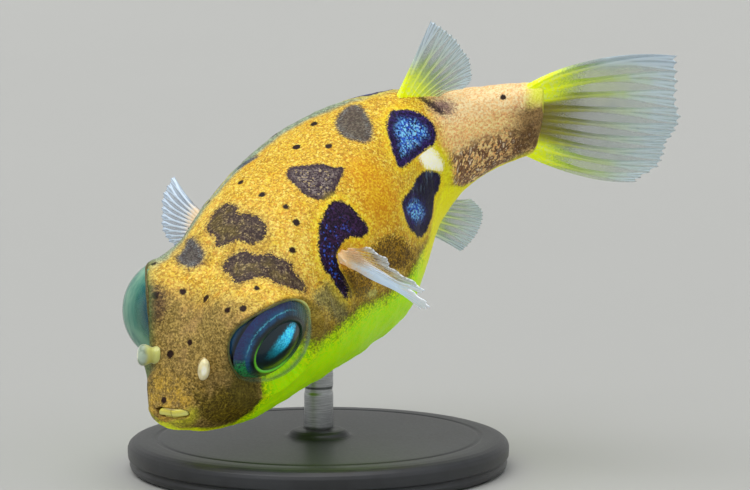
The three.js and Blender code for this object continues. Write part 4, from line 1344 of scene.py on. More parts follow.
def nostril_material():
    """Cream bulbs, tan at the foot, with a painted highlight on the tip and a painted sheen on the rim seen
    at a slant; the right one is glassy green.
    """
    s, f = settings(), Finish("puffer_nostril")
    rise, tip, glassy = f.fields("rise", "tip", "glassy")
    fine, cloud = f.noise(0.16, 3.0, 0.6), f.noise(0.4, 2.0, 0.5)
    drift = cloud - 0.5
    rim = f.node("ShaderNodeLayerWeight", {}, {"Blend": 0.4}, "Facing")
    glass = f.mix(cloud.step(0.4, 0.6), s.glass_dark, s.glass)
    colour = f.layered(
        f.mix((rise + drift * 0.5).step(0.05, 0.45), s.tan, s.nostril),
        (cloud.step(0.5, 0.7) * 0.5, s.nostril_shade),
        (glassy * 0.85, f.mix((rise + drift * 0.6).step(0.7, 0.35), glass, s.lid)),
        # A painted highlight on the tip and a painted sheen on the rim, where the bulb is seen at a slant.
        (tip.step(0.74, 0.88) * (fine + 0.3).step(0.4, 0.7) * (1.0 - glassy * 0.6), s.painted_nostril_highlight),
        (rim.step(0.45, 0.8) * (0.25 + glassy * 0.45), s.painted_nostril_highlight))
    return f.surface(Base_Color=colour, Roughness=0.26 + fine * 0.15, Normal=f.bump(fine, 0.02, 0.6),
                     Subsurface_Weight=0.5, Subsurface_Scale=0.0003, Subsurface_Radius=(1.0, 0.9, 0.6),
                     Coat_Weight=0.5, Coat_Roughness=0.12)


def build_beak(name, low, high, half, sink):
    """A fused tooth plate that follows the snout's front: rings of a rounded section carried from the
    right end to the left, with a groove down the middle and fine growth lines."""
    along = np.linspace(-1, 1, 110)[:, None]
    around = round_angles(48)[None]
    end = np.clip(1 - np.abs(along) ** 10, 0.03, 1) ** 0.5
    c, s = np.cos(around), np.sin(around)
    side = PLATE_SIDE + along * half + 0 * c
    up = (high - low) / 2 * np.sign(s) * np.abs(s) ** 0.7 * (0.4 + 0.6 * end)
    height = (low + high) / 2 + up - PLATE_ARCH * (along + 0.15) ** 2
    deep = 0.10 * (np.sign(c) * np.abs(c) ** 0.8 - 1) * end
    groove = 0.03 * np.exp(-(along / 0.03) ** 2)
    lines = 0.004 * np.sin(up * 90) + 0.002 * np.sin(along * 24 + 1.0)
    surface = snout_front(side, MOUTH_UP + 0 * height) - sink - 0.25 * (height - MOUTH_UP)
    x = surface + deep + (lines - groove) * (c > 0) * end
    rings = to_stand(np.stack([x, side, height], axis=-1))
    fields = {"down": (height - low) / (high - low), "along": along}
    return loft(name, rings, rings[0].mean(axis=0), rings[-1].mean(axis=0), fields)


def beak_material():
    """Yellow enamel, paler at the biting edge, with painted shadow of the upper lip above it and a dark
    seam down the middle.
    """
    s, f = settings(), Finish("puffer_beak")
    down, along = f.field("down"), f.field("along")
    fine = f.noise(0.12, 3.0, 0.6)
    dust = fine - 0.5
    # Painted shadow under the upper lip along the plate's top; the seam down the middle is a dark joint.
    colour = f.layered(
        f.mix((down + dust * 0.5).step(0.75, 0.2), s.beak, s.beak_pale),
        ((down + dust * 0.2).step(0.82, 1.0) * 0.8, s.mouth_shadow_and_seam),
        ((along * along).step(0.0022, 0.0002) * 0.6, s.mouth_shadow_and_seam))
    return f.surface(Base_Color=colour, Roughness=0.2 + fine * 0.2, Normal=f.bump(fine, 0.008, 0.5),
                     Subsurface_Weight=0.2, Subsurface_Scale=0.0002, Subsurface_Radius=(1.0, 0.8, 0.5),
                     Coat_Weight=0.5, Coat_Roughness=0.08)


# ---- Fins ----

def ray_pattern(u, v, rays, split=0.45):
    """Rays that fork once at a share of their length and again near the end: the largest of the ray
    profiles, each a bell across its own line, whose lines part after the fork. Returns 0 to 1."""
    total = np.zeros(np.broadcast(u, v).shape)
    for k in range(rays):
        line = (k + 0.5) / rays
        part = smooth_step(v, split, 1.0) * 0.25 / rays
        again = smooth_step(v, split + 0.25, 1.0) * 0.11 / rays
        width = (0.16 - 0.07 * v) / rays
        for first, second in ((-1, -1), (-1, 1), (1, -1), (1, 1)):
            aside = u - line - first * part - second * again
            total = np.maximum(total, np.exp(-(aside / width) ** 2))
    return total


CAUDAL = {
    "root": [(24.86, 1.9), (23.6, -1.9)],
    "margin": [
        (31.3, 2.2), (31.1, 0.9), (30.85, -0.5), (30.6, -1.85), (30.0, -2.95), (29.3, -3.85), (28.4, -4.5),
    ],
    "bulge": 0.7, "rays": 9, "sink": 0.7, "thick": 0.34, "wave": 0.16, "seed": 21,
}
DORSAL = {
    "root": [(18.45, 3.6), (20.2, 2.5)],
    "margin": [(20.8, 6.6), (21.35, 5.8), (21.8, 4.8), (22.05, 3.8), (21.95, 2.95), (21.4, 2.6)],
    "bulge": -0.1, "rays": 8, "sink": 0.5, "thick": 0.3, "wave": 0.1, "seed": 22,
}
ANAL = {
    "root": [(17.4, -3.9), (19.1, -2.9)],
    "margin": [(19.3, -6.4), (20.0, -6.0), (20.6, -5.3), (20.85, -4.5), (20.4, -3.6)],
    "bulge": 0.1, "rays": 7, "sink": 0.5, "thick": 0.3, "wave": 0.1, "seed": 23,
}


def fin_grid(across, along):
    """Two grids of shares: across a fin, and along its rays from the root out."""
    return np.meshgrid(np.linspace(0, 1, across), np.linspace(0, 1, along), indexing="ij")


def fin_edge(u, rays, seed):
    """How much of its length each place across a fin reaches: full at the ray tips, notched between
    them, and a little uneven from ray to ray."""
    rng = np.random.default_rng(seed)
    uneven = np.interp(u, (np.arange(rays) + 0.5) / rays, rng.uniform(0, 0.05, rays))
    return 1.0 - uneven - 0.045 * np.abs(np.sin(u * rays * 2 * math.pi)) ** 0.7 * 0.6


def build_midline_fin(name, shape):
    """A fin on the midline: rays run straight from the root to the margin with a swell upwards in the
    middle of the upper ones, and the sheet waves sideways along its free part."""
    u, v = fin_grid(216, 84)
    margin = spline(shape["margin"], u)
    root = np.array(shape["root"][0]) * (1 - u[..., None]) + np.array(shape["root"][1]) * u[..., None]
    start = root - unit(margin - root) * shape["sink"]
    length = fin_edge(u, shape["rays"], shape["seed"])
    point = start + (margin - start) * (v * length)[..., None]
    swell = shape["bulge"] * 4 * v * (1 - v) * (1 - 2 * u)
    side = shape["wave"] * v ** 1.5 * np.sin(u * 9.0 + v * 2.5 + shape["seed"])
    middle = place(point[..., 0], side, point[..., 1] + swell)
    ray = ray_pattern(u, v, shape["rays"])
    body = shape["thick"] * (1 - v) ** 1.6
    thickness = body + 0.045 + 0.075 * ray * (1 - 0.55 * v)
    thickness *= 0.35 + 0.65 * smooth_step(np.minimum(u, 1 - u), 0, 0.012)
    fields = {"ray": ray, "out": v, "cross": u}
    return slab(name, to_stand(middle), thickness * MM, fields)


RIGHT_ROOT = np.array([(9.6, 3.7, 2.2), (8.9, 3.95, 1.15)])
LEFT_ROOT = np.array([(9.42, 3.75, 1.93), (9.12, 3.85, 1.5)])
# The left fin fans out in a plane from one direction towards a second; (forward, outward, up) each.
LEFT_FIRST, LEFT_SECOND = (0.413, 0.565, 0.715), (-0.108, 0.812, -0.579)
LEFT_SWEEP, LEFT_LENGTH = np.radians([8.0, 110.0]), 4.3
LEFT_TURNS = np.linspace(*LEFT_SWEEP, 9)[:, None]
LEFT_RAYS = LEFT_LENGTH * (np.cos(LEFT_TURNS) * LEFT_FIRST + np.sin(LEFT_TURNS) * LEFT_SECOND)
LEFT_RAYS = LEFT_RAYS * (-1.0, 1.0, 1.0)
RIGHT_RAYS = [
    (2.75, 3.45, 0.2), (2.3, 3.9, -0.4), (1.8, 3.95, -1.0), (1.25, 3.8, -1.5), (0.8, 3.3, -1.9),
    (0.4, 2.4, -1.85),
]


PECTORAL_SINK = 0.55
PECTORAL_RAY_COUNT = 11


def build_pectoral(label, side, root, tips):
    """A pectoral fin: rays from a short root to tips given as (backward, outward, up) from the root's
    middle, bowed a little outwards, with the membrane slack between them. The left one is shortened in
    two places and its lower half is drawn together near the end."""
    u, v = fin_grid(176, 84)
    ends = place(root[:, 0], root[:, 1] * side, root[:, 2])
    foot = ends[0] * (1 - u[..., None]) + ends[1] * u[..., None]
    tip = ends.mean(axis=0) + spline(tips, u) * np.array([-1.0, side, 1.0])
    start = foot - unit(tip - foot) * PECTORAL_SINK
    length = fin_edge(u, PECTORAL_RAY_COUNT, 31 if side > 0 else 32)
    if side > 0:
        length = length * (1 - 0.2 * hump(u, 0.28, 0.10) - 0.24 * hump(u, 0.64, 0.09))
    middle = start + (tip - start) * (v * length)[..., None]
    if side > 0:
        axis = middle[round(0.8 * len(u))][None]
        pinch = 0.5 * hump(v, 0.68, 0.2) * smooth_step(u, 0.35, 0.55)
        middle = middle + (axis - middle) * pinch[..., None]
    ray = ray_pattern(u, v, PECTORAL_RAY_COUNT, 0.6)
    bow = np.array([0.25, side * 0.6, 0.3]) * (0.22 * np.sin(v * math.pi))[..., None]
    pleat = np.cos(u * PECTORAL_RAY_COUNT * 2 * math.pi) * 0.035 * smooth_step(v, 0.05, 0.3)
    middle = middle + bow + sheet_normal(middle) * pleat[..., None]
    thickness = 0.36 * (1 - v) ** 3 + 0.035 + 0.07 * ray * (1 - 0.5 * v)
    fields = {"ray": ray, "out": v, "cross": u}
    return slab("pectoral_rays_" + label, to_stand(middle), thickness * MM, fields)


def fin_material(name, root, membrane, ray_colour, tip, clear, streak=None, thin_first=0.0, fleshy=0.46,
                 middle=None):
    """A translucent fin: coloured flesh at the root, clear membrane between pale rays, pale tips.
    thin_first makes the first rays clearer; fleshy is how far out the root's colour reaches; middle is
    a darker colour for the middle of the root."""
    f = Finish(name)
    ray, out, cross = f.fields("ray", "out", "cross")
    fine, cloud = f.noise(0.1, 3.0, 0.6), f.noise(0.9, 3.0, 0.6)
    speck = f.part(f.cells(0.11), 0)
    dust, drift = fine - 0.5, cloud - 0.5
    colour = f.mix((ray + dust * 0.3).step(0.15, 0.75), membrane, ray_colour)
    if streak is not None:
        wavy = cross + drift * 0.16
        band = wavy.step(0.0, 0.1) * wavy.step(0.42, 0.22)
        low = (cross + drift * 0.12).step(0.74, 0.9)
        colour = f.mix((band * 0.8 + low * 0.75) * (out + drift * 0.5).step(0.95, 0.45), colour, streak)
    colour = f.mix((out + drift * 0.3).step(0.5, 0.95) * (0.35 + ray * 0.5), colour, tip)
    start = (out + dust * 0.25 - ray * 0.08 + cross * (fleshy - 0.46)).step(fleshy, fleshy * 0.22)
    colour = f.mix(start, colour, f.mix(speck.step(0.5, 0.9) * 0.28, root, ray_colour))
    if middle is not None:
        wavy = cross + drift * 0.1
        centre = wavy.step(0.2, 0.34) * wavy.step(0.82, 0.66)
        colour = f.mix(centre * (out + dust * 0.2).step(0.75, 0.1) * 0.85, colour, middle)
        start = start * (1.0 - centre * 0.45)
    alpha = clear + ray.step(0.1, 0.8) * 0.5 + start * 0.95 + drift * 0.16 + dust * 0.1
    # Painted glow: the fleshy root and the rays give off some of their own colour as emission.
    glow = start.at_least(ray.step(0.2, 0.9) * 0.3)
    if thin_first:
        first = (cross + drift * 0.1).step(0.56, 0.36)
        near_tip = (out + dust * 0.2).step(0.55, 0.95)
        alpha = alpha - first * thin_first * (1.0 - near_tip * 0.6) * (0.6 + out * 0.6)
        colour = f.mix(first * (1.0 - near_tip) * 0.7, colour, root)
        solid_share = 1.0 - first
        alpha = alpha + solid_share * 0.4
        glow = glow.at_least(solid_share)
    else:
        lead = (cross + dust * 0.04).step(0.14, 0.05) * (out + drift * 0.2).step(0.35, 0.6)
        colour = f.mix(lead * 0.7, colour, tip)
        alpha = alpha + lead * 0.3
    return f.surface(Base_Color=colour, Roughness=0.3 + fine * 0.2, Alpha=alpha.at_least(0.08).at_most(1.0),
                     Normal=f.bump(fine, 0.02, 0.5), Emission_Strength=0.28,
                     Emission_Color=f.mix(glow, (0.0, 0.0, 0.0), colour),
                     Specular_IOR_Level=0.3, Coat_Weight=0.15, Coat_Roughness=0.15)


# ---- Stand ----

def build_base():
    """A round base turned with a bevelled foot, a shallow step, a flat top with a rounded edge and a fine
    groove, and a raised seat round the rod; its flat underside stands a little proud of the foot's edge."""
    profile = [
        (0.4, 0.0), (7.7, 0.0), (8.2, 0.02), (8.36, 0.14), (8.42, 0.30), (8.34, 0.42), (8.36, 0.50),
        (8.48, 0.60), (8.5, 0.80), (8.5, 1.02), (8.44, 1.18), (8.30, 1.30), (8.10, 1.37), (7.8, 1.40),
        (7.35, 1.40), (7.25, 1.36), (7.15, 1.36), (7.05, 1.40), (5.0, 1.40), (3.0, 1.40), (1.55, 1.40),
        (1.42, 1.43), (1.34, 1.50), (1.28, 1.60), (1.16, 1.68), (0.98, 1.71), (0.74, 1.71), (0.66, 1.66),
    ]
    return turned("base_turned", profile, 150, 192)


def build_rod():
    """The rod: brushed round bar with a slim groove below its top and a domed end under the belly."""
    low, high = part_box("stand_rod")
    low, high = np.array(low) / MM, np.array(high) / MM
    foot, top = low[2], high[2]
    profile = [
        (0.3, foot), (0.63, foot), (0.65, foot + 0.1), (0.65, foot + 0.25), (0.65, top - 1.2),
        (0.62, top - 1.1), (0.62, top - 0.95), (0.65, top - 0.85), (0.65, top - 0.3), (0.6, top + 0.15),
        (0.4, top + 0.3),
    ]
    return turned("rod_turned", profile, 110, 64, (low + high)[:2] / 2)


def base_material():
    """Satin black with faint clouds and fine specks of wear."""
    s, f = settings(), Finish("stand_black")
    fine, cloud = f.noise(0.12, 3.0, 0.6), f.noise(3.0, 3.0, 0.6)
    colour = f.layered(f.mix(cloud.step(0.35, 0.7), s.base_dark, s.base),
                       (fine.step(0.66, 0.8) * 0.25, s.base_worn))
    return f.surface(Base_Color=colour, Roughness=0.36 + fine * 0.14 + cloud * 0.06, Metallic=0.15,
                     Normal=f.bump(fine, 0.006, 0.5), Coat_Weight=0.2, Coat_Roughness=0.3)


def rod_material():
    """Steel brushed round the rod: noise drawn out sideways."""
    s, f = settings(), Finish("stand_steel")
    brushed = f.noise(0.28, 4.0, 0.7, f.stretched(0.35, 0.35, 9.0))
    cloud = f.noise(1.5, 2.0, 0.5)
    colour = f.mix(brushed.step(0.3, 0.75), s.steel_dark, s.steel)
    return f.surface(Base_Color=colour, Roughness=0.24 + brushed * 0.2 + cloud * 0.05, Metallic=1.0,
                     Normal=f.bump(brushed, 0.003, 0.5))


# ---- Studio ----

FLOOR_DROP, FLOOR_REACH = 0.00002, 1.9
BOWL_FROM, BOWL_RISE = 0.03, 0.3
FLOOR_COLUMNS = 96
# The camera's place from the pivot in millimetres: to its right, up, and back along its view.
CAMERA_OFFSET = (3.690, 0.708, 96.10)
SENSOR_WIDTH = 36.0
# Each lamp's name, spread in degrees, direction as shares of right, upright and towards the camera,
# and colour.
LAMPS = [
    ("key", 75.0, (-0.20, 0.95, 0.25), (1.0, 0.985, 0.95)),
    ("fill", 90.0, (0.1, 0.25, 0.9), (0.97, 0.985, 1.0)),
    ("side", 70.0, (0.95, 0.06, 0.35), (1.0, 1.0, 1.0)),
]
AIR_COLOUR, AIR_STRENGTH = (0.93, 0.95, 1.0, 1.0), 0.38


def aim(thing, right, up, back, spot):
    """Stands a camera or a lamp at a spot, with its sides along three square directions."""
    rows = [(right[k], up[k], back[k], spot[k]) for k in range(3)]
    thing.matrix_world = mathutils.Matrix([*rows, (0.0, 0.0, 0.0, 1.0)])


def build_floor(paint):
    """A round floor that rises like a shallow bowl: 0.3 times the square of the distance past BOWL_FROM.
    It is a fan about its middle, then quads between rings."""
    radius = np.concatenate([[0.005], np.linspace(0.02, FLOOR_REACH, 60)])[:, None]
    height = BOWL_RISE * np.maximum(radius - BOWL_FROM, 0.0) ** 2 - FLOOR_DROP
    angle = round_angles(FLOOR_COLUMNS)
    rings = np.stack([radius * np.cos(angle), radius * np.sin(angle), height + 0 * angle], axis=-1)
    i, j = np.meshgrid(np.arange(len(radius) - 1), np.arange(FLOOR_COLUMNS), indexing="ij")
    a, b = i * FLOOR_COLUMNS + j, i * FLOOR_COLUMNS + (j + 1) % FLOOR_COLUMNS
    quads = np.stack([a, a + FLOOR_COLUMNS, b + FLOOR_COLUMNS, b], axis=-1).reshape(-1, 4)
    points = np.concatenate([rings.reshape(-1, 3), [[0, 0, -FLOOR_DROP]]])
    j = np.arange(FLOOR_COLUMNS)
    centre = np.stack([np.full(FLOOR_COLUMNS, len(points) - 1), j, (j + 1) % FLOOR_COLUMNS], axis=-1)
    floor = make_piece("studio_floor", points, quads, centre)
    f = Finish("studio_paint")
    shade = tuple(0.97 * x for x in paint)
    colour = f.mix(f.noise(60.0, 2.0, 0.5), shade, paint)
    floor.data.materials.append(f.surface(Base_Color=colour, Roughness=0.9))
    return floor


def camera_frame(azimuth, elevation):
    """The camera's right, up and backward directions for a turn about the vertical and a height."""
    right = np.array([math.cos(azimuth), math.sin(azimuth), 0.0])
    up = np.array([-math.sin(azimuth) * math.sin(elevation), math.cos(azimuth) * math.sin(elevation),
                   math.cos(elevation)])
    back = np.array([math.sin(azimuth) * math.cos(elevation), -math.cos(azimuth) * math.cos(elevation),
                     math.sin(elevation)])
    return right, up, back


def add_camera(scene, right, up, back, lens):
    """The camera, at its offset from the pivot along its own directions."""
    along = zip(CAMERA_OFFSET, (right, up, back))
    spot = (PIVOT + sum(share * way for share, way in along)) * MM
    data = bpy.data.cameras.new("studio_camera")
    data.lens, data.sensor_width = lens, SENSOR_WIDTH
    data.clip_start, data.clip_end = 0.001, 10.0
    camera = bpy.data.objects.new("studio_camera", data)
    scene.collection.objects.link(camera)
    aim(camera, right, up, back, spot)
    scene.camera = camera


def add_lamps(scene, right, back, powers):
    """Three broad suns, each half a metre out along its own direction, and a soft even air."""
    for (name, spread, shares, tone), power in zip(LAMPS, powers):
        light = bpy.data.lights.new("studio_" + name, "SUN")
        light.energy, light.angle, light.color = power, math.radians(spread), tone
        lamp = bpy.data.objects.new("studio_" + name, light)
        scene.collection.objects.link(lamp)
        out = unit(sum(share * way for share, way in zip(shares, (right, UPRIGHT, back))))
        across = unit(np.cross(UPRIGHT, out))
        aim(lamp, across, np.cross(out, across), out, out * 0.5)
    world = bpy.data.worlds.new("studio_air")
    world.use_nodes = True
    air = world.node_tree.nodes["Background"].inputs
    air["Color"].default_value, air["Strength"].default_value = AIR_COLOUR, AIR_STRENGTH
    scene.world = world


# ---- What a user may change ----

def colour(name, description, red, green, blue):
    """A colour that a user may change, given as 0 to 255 on a screen."""
    return bpy.props.FloatVectorProperty(name=name, description=description, subtype="COLOR", size=3,
                                         min=0.0, max=1.0, default=tint(red, green, blue))


def amount(name, description, default, low, high, subtype="NONE"):
    """A number that a user may change, with its lowest and highest values."""
    return bpy.props.FloatProperty(name=name, description=description, default=default, min=low, max=high,
                                   subtype=subtype)


class PufferfishSettings(bpy.types.PropertyGroup):
    grain_size: amount("Grain size", "Width of one skin grain in millimetres", 0.065, 0.02, 1.0)
    grain_relief: amount("Grain relief", "Height of one skin grain in millimetres", 0.012, 0.0, 0.2)
    gold: colour("Gold", "Grains of the flanks", 234, 194, 62)
    gold_dark: colour("Dark gold", "Gaps between the flank's grains", 196, 150, 38)
    gold_rich: colour("Rich gold", "Warm patches", 226, 166, 14)
    gold_bright: colour("Bright gold", "Round the dark marks", 250, 222, 26)
    gold_pale: colour("Pale gold", "Lightest grains", 250, 222, 120)
    tan: colour("Tan", "Forehead", 178, 152, 84)
    tan_dark: colour("Dark tan", "Gaps between the forehead's grains", 124, 102, 48)
    pink: colour("Pink tan", "Warm parts of the forehead", 196, 156, 104)
    snout: colour("Snout", "Snout grains", 158, 132, 72)
    snout_gold: colour("Snout gold", "Warm patch above the mouth", 204, 164, 44)
    snout_dark: colour("Dark snout", "Gaps between the snout's grains", 104, 84, 36)
    olive: colour("Olive", "Sides of the snout and cheek", 122, 106, 22)
    olive_dark: colour("Dark olive", "Gaps in the olive parts", 72, 58, 8)
    cheek: colour("Cheek", "Grey-green cheek", 142, 142, 88)
    cheek_dark: colour("Dark cheek", "Gaps in the cheek", 92, 92, 60)
    rear: colour("Tail stalk", "Tail stalk grains", 250, 214, 148)
    rear_dark: colour("Dark tail stalk", "Gaps of the tail stalk", 226, 182, 116)
    root_brown: colour("Root brown", "Dark patch on the tail fin's root", 104, 78, 46)
    rear_pale: colour("Pale tail stalk", "Top of the tail stalk", 255, 236, 200)
    rear_streak: colour("Streaks", "Streaks of the tail stalk", 104, 66, 48)
    lime: colour("Lime", "Cheek and belly grains", 196, 232, 0)
    lime_dark: colour("Dark lime", "Gaps in the lime", 160, 206, 0)
    lime_bright: colour("Bright lime", "Smooth belly", 186, 248, 0)
    belly_yellow: colour("Belly yellow", "Underside behind the belly", 236, 230, 8)
    back_green: colour("Back green", "Far side of the back", 132, 176, 160)
    back_green_dark: colour("Dark back green", "Gaps on the far side", 66, 108, 108)
    amber: colour("Amber", "Patch behind the pectoral fin", 150, 112, 12)
    amber_dark: colour("Dark amber", "Gaps in that patch", 78, 52, 4)
    brown: colour("Brown", "Blotch grains", 120, 104, 84)
    brown_dark: colour("Dark brown", "Gaps in the blotches", 60, 44, 42)
    brown_pale: colour("Pale brown", "Light flecks in the blotches", 196, 176, 120)
    brow: colour("Brow", "Brow patch", 112, 84, 56)
    mauve: colour("Mauve", "Grains of the flank blotch", 132, 120, 116)
    mauve_dark: colour("Dark mauve", "Edge of the flank blotch", 54, 36, 48)
    slate: colour("Slate", "Grains of the grey blotches", 80, 98, 116)
    slate_dark: colour("Dark slate", "Middle of the grey blotches", 40, 46, 66)
    plum: colour("Plum", "Grains of the shoulder mark", 62, 34, 74)
    plum_dark: colour("Dark plum", "Gaps in the shoulder mark", 20, 8, 28)
    navy: colour("Navy", "Grains of the side spots", 34, 30, 92)
    violet_brown: colour("Violet brown", "Smudge behind the dorsal fin", 92, 58, 84)
    violet: colour("Violet", "Rims of the side spots", 58, 36, 112)
    navy_dark: colour("Dark navy", "Edges of the side spots", 14, 8, 34)
    blue: colour("Blue", "Bright middle of the side spots", 44, 96, 214)
    blue_spark: colour("Blue spark", "Brightest flecks", 130, 206, 255)
    cream: colour("Cream", "Pale patches", 255, 255, 236)
    freckle: colour("Freckle", "Small dark spots", 38, 18, 12)
    lid: colour("Lid edge", "Thin edge of the lids", 206, 212, 120)
    lid_shade: colour("Lid shade", "Skin round the eyes", 104, 96, 44)
    lip: colour("Lip", "Lower lip", 190, 186, 44)
    lens: colour("Lens", "Lens", 4, 36, 50)
    lens_dark: colour("Dark lens", "Deepest part of the lens", 16, 38, 34)
    reflex: colour("Reflex", "Bright part of the lens", 0, 176, 222)
    reflex_teal: colour("Teal reflex", "Its fading end", 10, 104, 104)
    reflex_pale: colour("Pale reflex", "Brightest flecks of the lens", 110, 236, 255)
    iris_navy: colour("Iris navy", "Iris", 10, 32, 54)
    iris_blue: colour("Iris blue", "Lighter parts of the iris", 16, 82, 134)
    iris_violet: colour("Iris violet", "Outer front of the iris", 38, 46, 104)
    iris_teal: colour("Iris teal", "Lower front of the iris", 40, 172, 92)
    iris_green: colour("Iris green", "Rear of the iris", 18, 70, 56)
    iris_dark: colour("Iris dark", "Ring outside the pupil", 6, 20, 24)
    ring: colour("Green ring", "Thin ring round the pupil", 120, 236, 50)
    ring_dark: colour("Dark green ring", "Green lines of the iris", 24, 120, 30)
    margin: colour("Clear margin", "Skin and wall at the clear margin", 92, 118, 70)
    margin_dark: colour("Dark clear margin", "Darker parts of that wall", 30, 48, 36)
    cornea: colour("Cornea", "Cornea at a slant", 128, 176, 150)
    cornea_dark: colour("Dark cornea", "Streaks of the cornea", 44, 120, 110)
    painted_cornea_rim: colour("Cornea edge", "Thin edge of the cornea", 196, 222, 190)
    nostril: colour("Nostril", "Nostril bulbs", 232, 222, 176)
    glass: colour("Glassy nostril", "The glassy right nostril", 168, 192, 178)
    glass_dark: colour("Dark glassy nostril", "Its darker parts", 108, 138, 124)
    painted_nostril_highlight: colour("Nostril tip", "Tips of the bulbs", 255, 252, 232)
    nostril_shade: colour("Nostril shade", "Shaded parts of the bulbs", 176, 160, 96)
    beak: colour("Beak", "Tooth plates", 222, 212, 84)
    beak_pale: colour("Beak edge", "Biting edge", 232, 230, 124)
    # Painted shadow inside the mouth and under the upper lip, and the dark seam of the plates.
    mouth_shadow_and_seam: colour("Gum", "Above the plates", 112, 84, 34)
    fin_yellow: colour("Fin yellow", "Roots of the median fins", 232, 250, 0)
    fin_green: colour("Fin green", "Streaks of the tail fin", 196, 222, 70)
    fin_clear: colour("Fin membrane", "Membrane", 130, 162, 150)
    fin_ray: colour("Fin ray", "Rays", 206, 222, 190)
    fin_tip: colour("Fin tip", "Tips", 214, 232, 250)
    fin_white: colour("Pectoral ray", "Rays of the left pectoral", 238, 244, 250)
    fin_pink: colour("Pectoral root", "Root of the pectorals", 228, 198, 152)
    fin_blue: colour("Far pectoral", "Right pectoral", 120, 150, 180)
    base: colour("Base", "Stand base", 46, 48, 52)
    base_dark: colour("Dark base", "Stand base, darker parts", 30, 31, 34)
    base_worn: colour("Worn base", "Specks of wear", 90, 92, 96)
    steel: colour("Steel", "Rod", 206, 208, 210)
    steel_dark: colour("Dark steel", "Brushing lines", 150, 153, 156)


class PufferfishStage(bpy.types.PropertyGroup):
    floor: colour("Floor", "Studio floor", 176, 177, 175)
    key_power: amount("Key light", "Strength of the light from above", 2.3, 0.0, 50.0)
    fill_power: amount("Fill light", "Strength of the light from the front", 0.9, 0.0, 50.0)
    side_power: amount("Side light", "Strength of the low light from one side", 1.5, 0.0, 50.0)
    azimuth: amount("Camera azimuth", "Turn of the view about the vertical", math.radians(37.26),
                    -math.pi, math.pi, "ANGLE")
    elevation: amount("Camera elevation", "Height of the view", math.radians(5.0),
                      -math.pi / 2, math.pi / 2, "ANGLE")
    lens: amount("Lens", "Focal length in millimetres", 104.72, 10.0, 400.0, "DISTANCE_CAMERA")


# ---- Operators ----

class PUFFER_OT_skin(bpy.types.Operator):
    """Builds the skin of the whole body"""
    bl_idname = "puffer.skin"
    bl_label = "Build skin"

    def execute(self, context):
        finish_piece(build_skin(), skin_material(), "skin", "head", "trunk", "tail")
        return {"FINISHED"}


class PUFFER_OT_eyes(bpy.types.Operator):
    """Builds both eyes: iris with lens, clear cornea and lid rim"""
    bl_idname = "puffer.eyes"
    bl_label = "Build eyes"

    def execute(self, context):
        iris, cornea, lid = iris_material(), cornea_material(), lid_material()
        for side, label in ((1, "left"), (-1, "right")):
            finish_piece(build_iris(side, label), iris, "eye", "eye_" + label)
            finish_piece(build_cornea(side, label), cornea, "eye")
            finish_piece(build_lid(side, label), lid, "skin")
        return {"FINISHED"}


class PUFFER_OT_face(bpy.types.Operator):
    """Builds the nostrils and the two tooth plates"""
    bl_idname = "puffer.face"
    bl_label = "Build nostrils and beak"

    def execute(self, context):
        material = nostril_material()
        for side, label in ((1, "left"), (-1, "right")):
            finish_piece(build_nostril(side, label), material, "nostril", "nostril_" + label)
        enamel = beak_material()
        for label, sizes in (("upper", (0.235, 0.53, 0.60, 0.015)), ("lower", (0.17, 0.225, 0.54, 0.05))):
            plate = build_beak("tooth_plate_" + label, *sizes)
            finish_piece(plate, enamel, "beak", label + "_beak")
        return {"FINISHED"}


class PUFFER_OT_fins(bpy.types.Operator):
    """Builds the tail, back and anal fins and both pectoral fins"""
    bl_idname = "puffer.fins"
    bl_label = "Build fins"

    def execute(self, context):
        s = settings()
        clear, ray, tip, yellow = s.fin_clear, s.fin_ray, s.fin_tip, s.fin_yellow
        median = fin_material("fin_median", yellow, clear, ray, tip, 0.3, streak=s.fin_green,
                              middle=s.root_brown)
        back = fin_material("fin_back", yellow, clear, ray, tip, 0.3, fleshy=0.8)
        white = fin_material("fin_left_pectoral", s.fin_pink, tip, s.fin_white, s.fin_white, 0.5,
                             thin_first=0.62)
        blue = fin_material("fin_right_pectoral", s.fin_pink, s.fin_blue, tip, tip, 0.3)
        midline = (("caudal", CAUDAL, median), ("dorsal", DORSAL, back), ("anal", ANAL, back))
        for name, shape, finish in midline:
            finish_piece(build_midline_fin(name + "_rays", shape), finish, "median_fin", name + "_fin")
        left = build_pectoral("left", 1, LEFT_ROOT, LEFT_RAYS)
        right = build_pectoral("right", -1, RIGHT_ROOT, RIGHT_RAYS)
        finish_piece(left, white, "pectoral_fin", "pectoral_fin_left")
        finish_piece(right, blue, "pectoral_fin", "pectoral_fin_right")
        return {"FINISHED"}


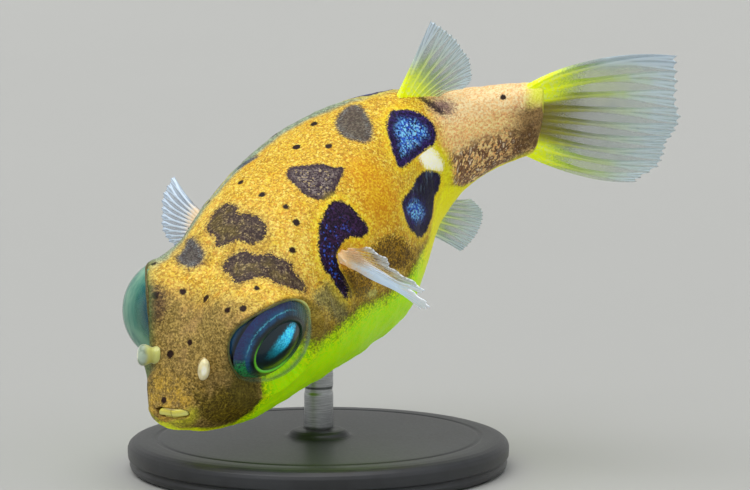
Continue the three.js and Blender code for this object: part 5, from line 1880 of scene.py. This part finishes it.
class PUFFER_OT_stand(bpy.types.Operator):
    """Builds the display stand's base and rod"""
    bl_idname = "puffer.stand"
    bl_label = "Build stand"

    def execute(self, context):
        finish_piece(build_base(), base_material(), "stand_base", "stand_base")
        finish_piece(build_rod(), rod_material(), "stand_rod", "stand_rod")
        return {"FINISHED"}


class PUFFER_OT_stage(bpy.types.Operator):
    """Sets up the pale studio floor, the soft lights and the camera"""
    bl_idname = "puffer.stage"
    bl_label = "Set the stage"

    def execute(self, context):
        scene, s = context.scene, context.scene.pufferfish_stage
        floor = build_floor(s.floor)
        right, up, back = camera_frame(s.azimuth, s.elevation)
        add_camera(scene, right, up, back, s.lens)
        add_lamps(scene, right, back, (s.key_power, s.fill_power, s.side_power))
        scene.view_settings.view_transform = "Standard"
        scene.view_settings.look = "None"
        return {"FINISHED"}


class PUFFER_PT_panel(bpy.types.Panel):
    """Buttons that build each part of the pufferfish"""
    bl_idname = "PUFFER_PT_panel"
    bl_label = "Pufferfish"
    bl_space_type = "VIEW_3D"
    bl_region_type = "UI"
    bl_category = "Pufferfish"

    def draw(self, context):
        layout = self.layout
        for name in ("skin", "eyes", "face", "fins", "stand", "stage"):
            layout.operator("puffer." + name)
        for name in ("grain_size", "grain_relief", "gold", "lime", "navy"):
            layout.prop(context.scene.pufferfish, name)


CLASSES = (PufferfishSettings, PufferfishStage, PUFFER_OT_skin, PUFFER_OT_eyes, PUFFER_OT_face,
           PUFFER_OT_fins, PUFFER_OT_stand, PUFFER_OT_stage, PUFFER_PT_panel)


def register():
    """Adds the classes and the two groups of settings to the scene."""
    for cls in CLASSES:
        bpy.utils.register_class(cls)
    bpy.types.Scene.pufferfish = bpy.props.PointerProperty(type=PufferfishSettings)
    bpy.types.Scene.pufferfish_stage = bpy.props.PointerProperty(type=PufferfishStage)


def unregister():
    """Takes them away again, in the other order."""
    del bpy.types.Scene.pufferfish_stage
    del bpy.types.Scene.pufferfish
    for cls in reversed(CLASSES):
        bpy.utils.unregister_class(cls)


def main():
    """Builds every part in order."""
    register()
    bpy.ops.puffer.skin()
    bpy.ops.puffer.eyes()
    bpy.ops.puffer.face()
    bpy.ops.puffer.fins()
    bpy.ops.puffer.stand()
    bpy.ops.puffer.stage()


if __name__ == "__main__":
    main()
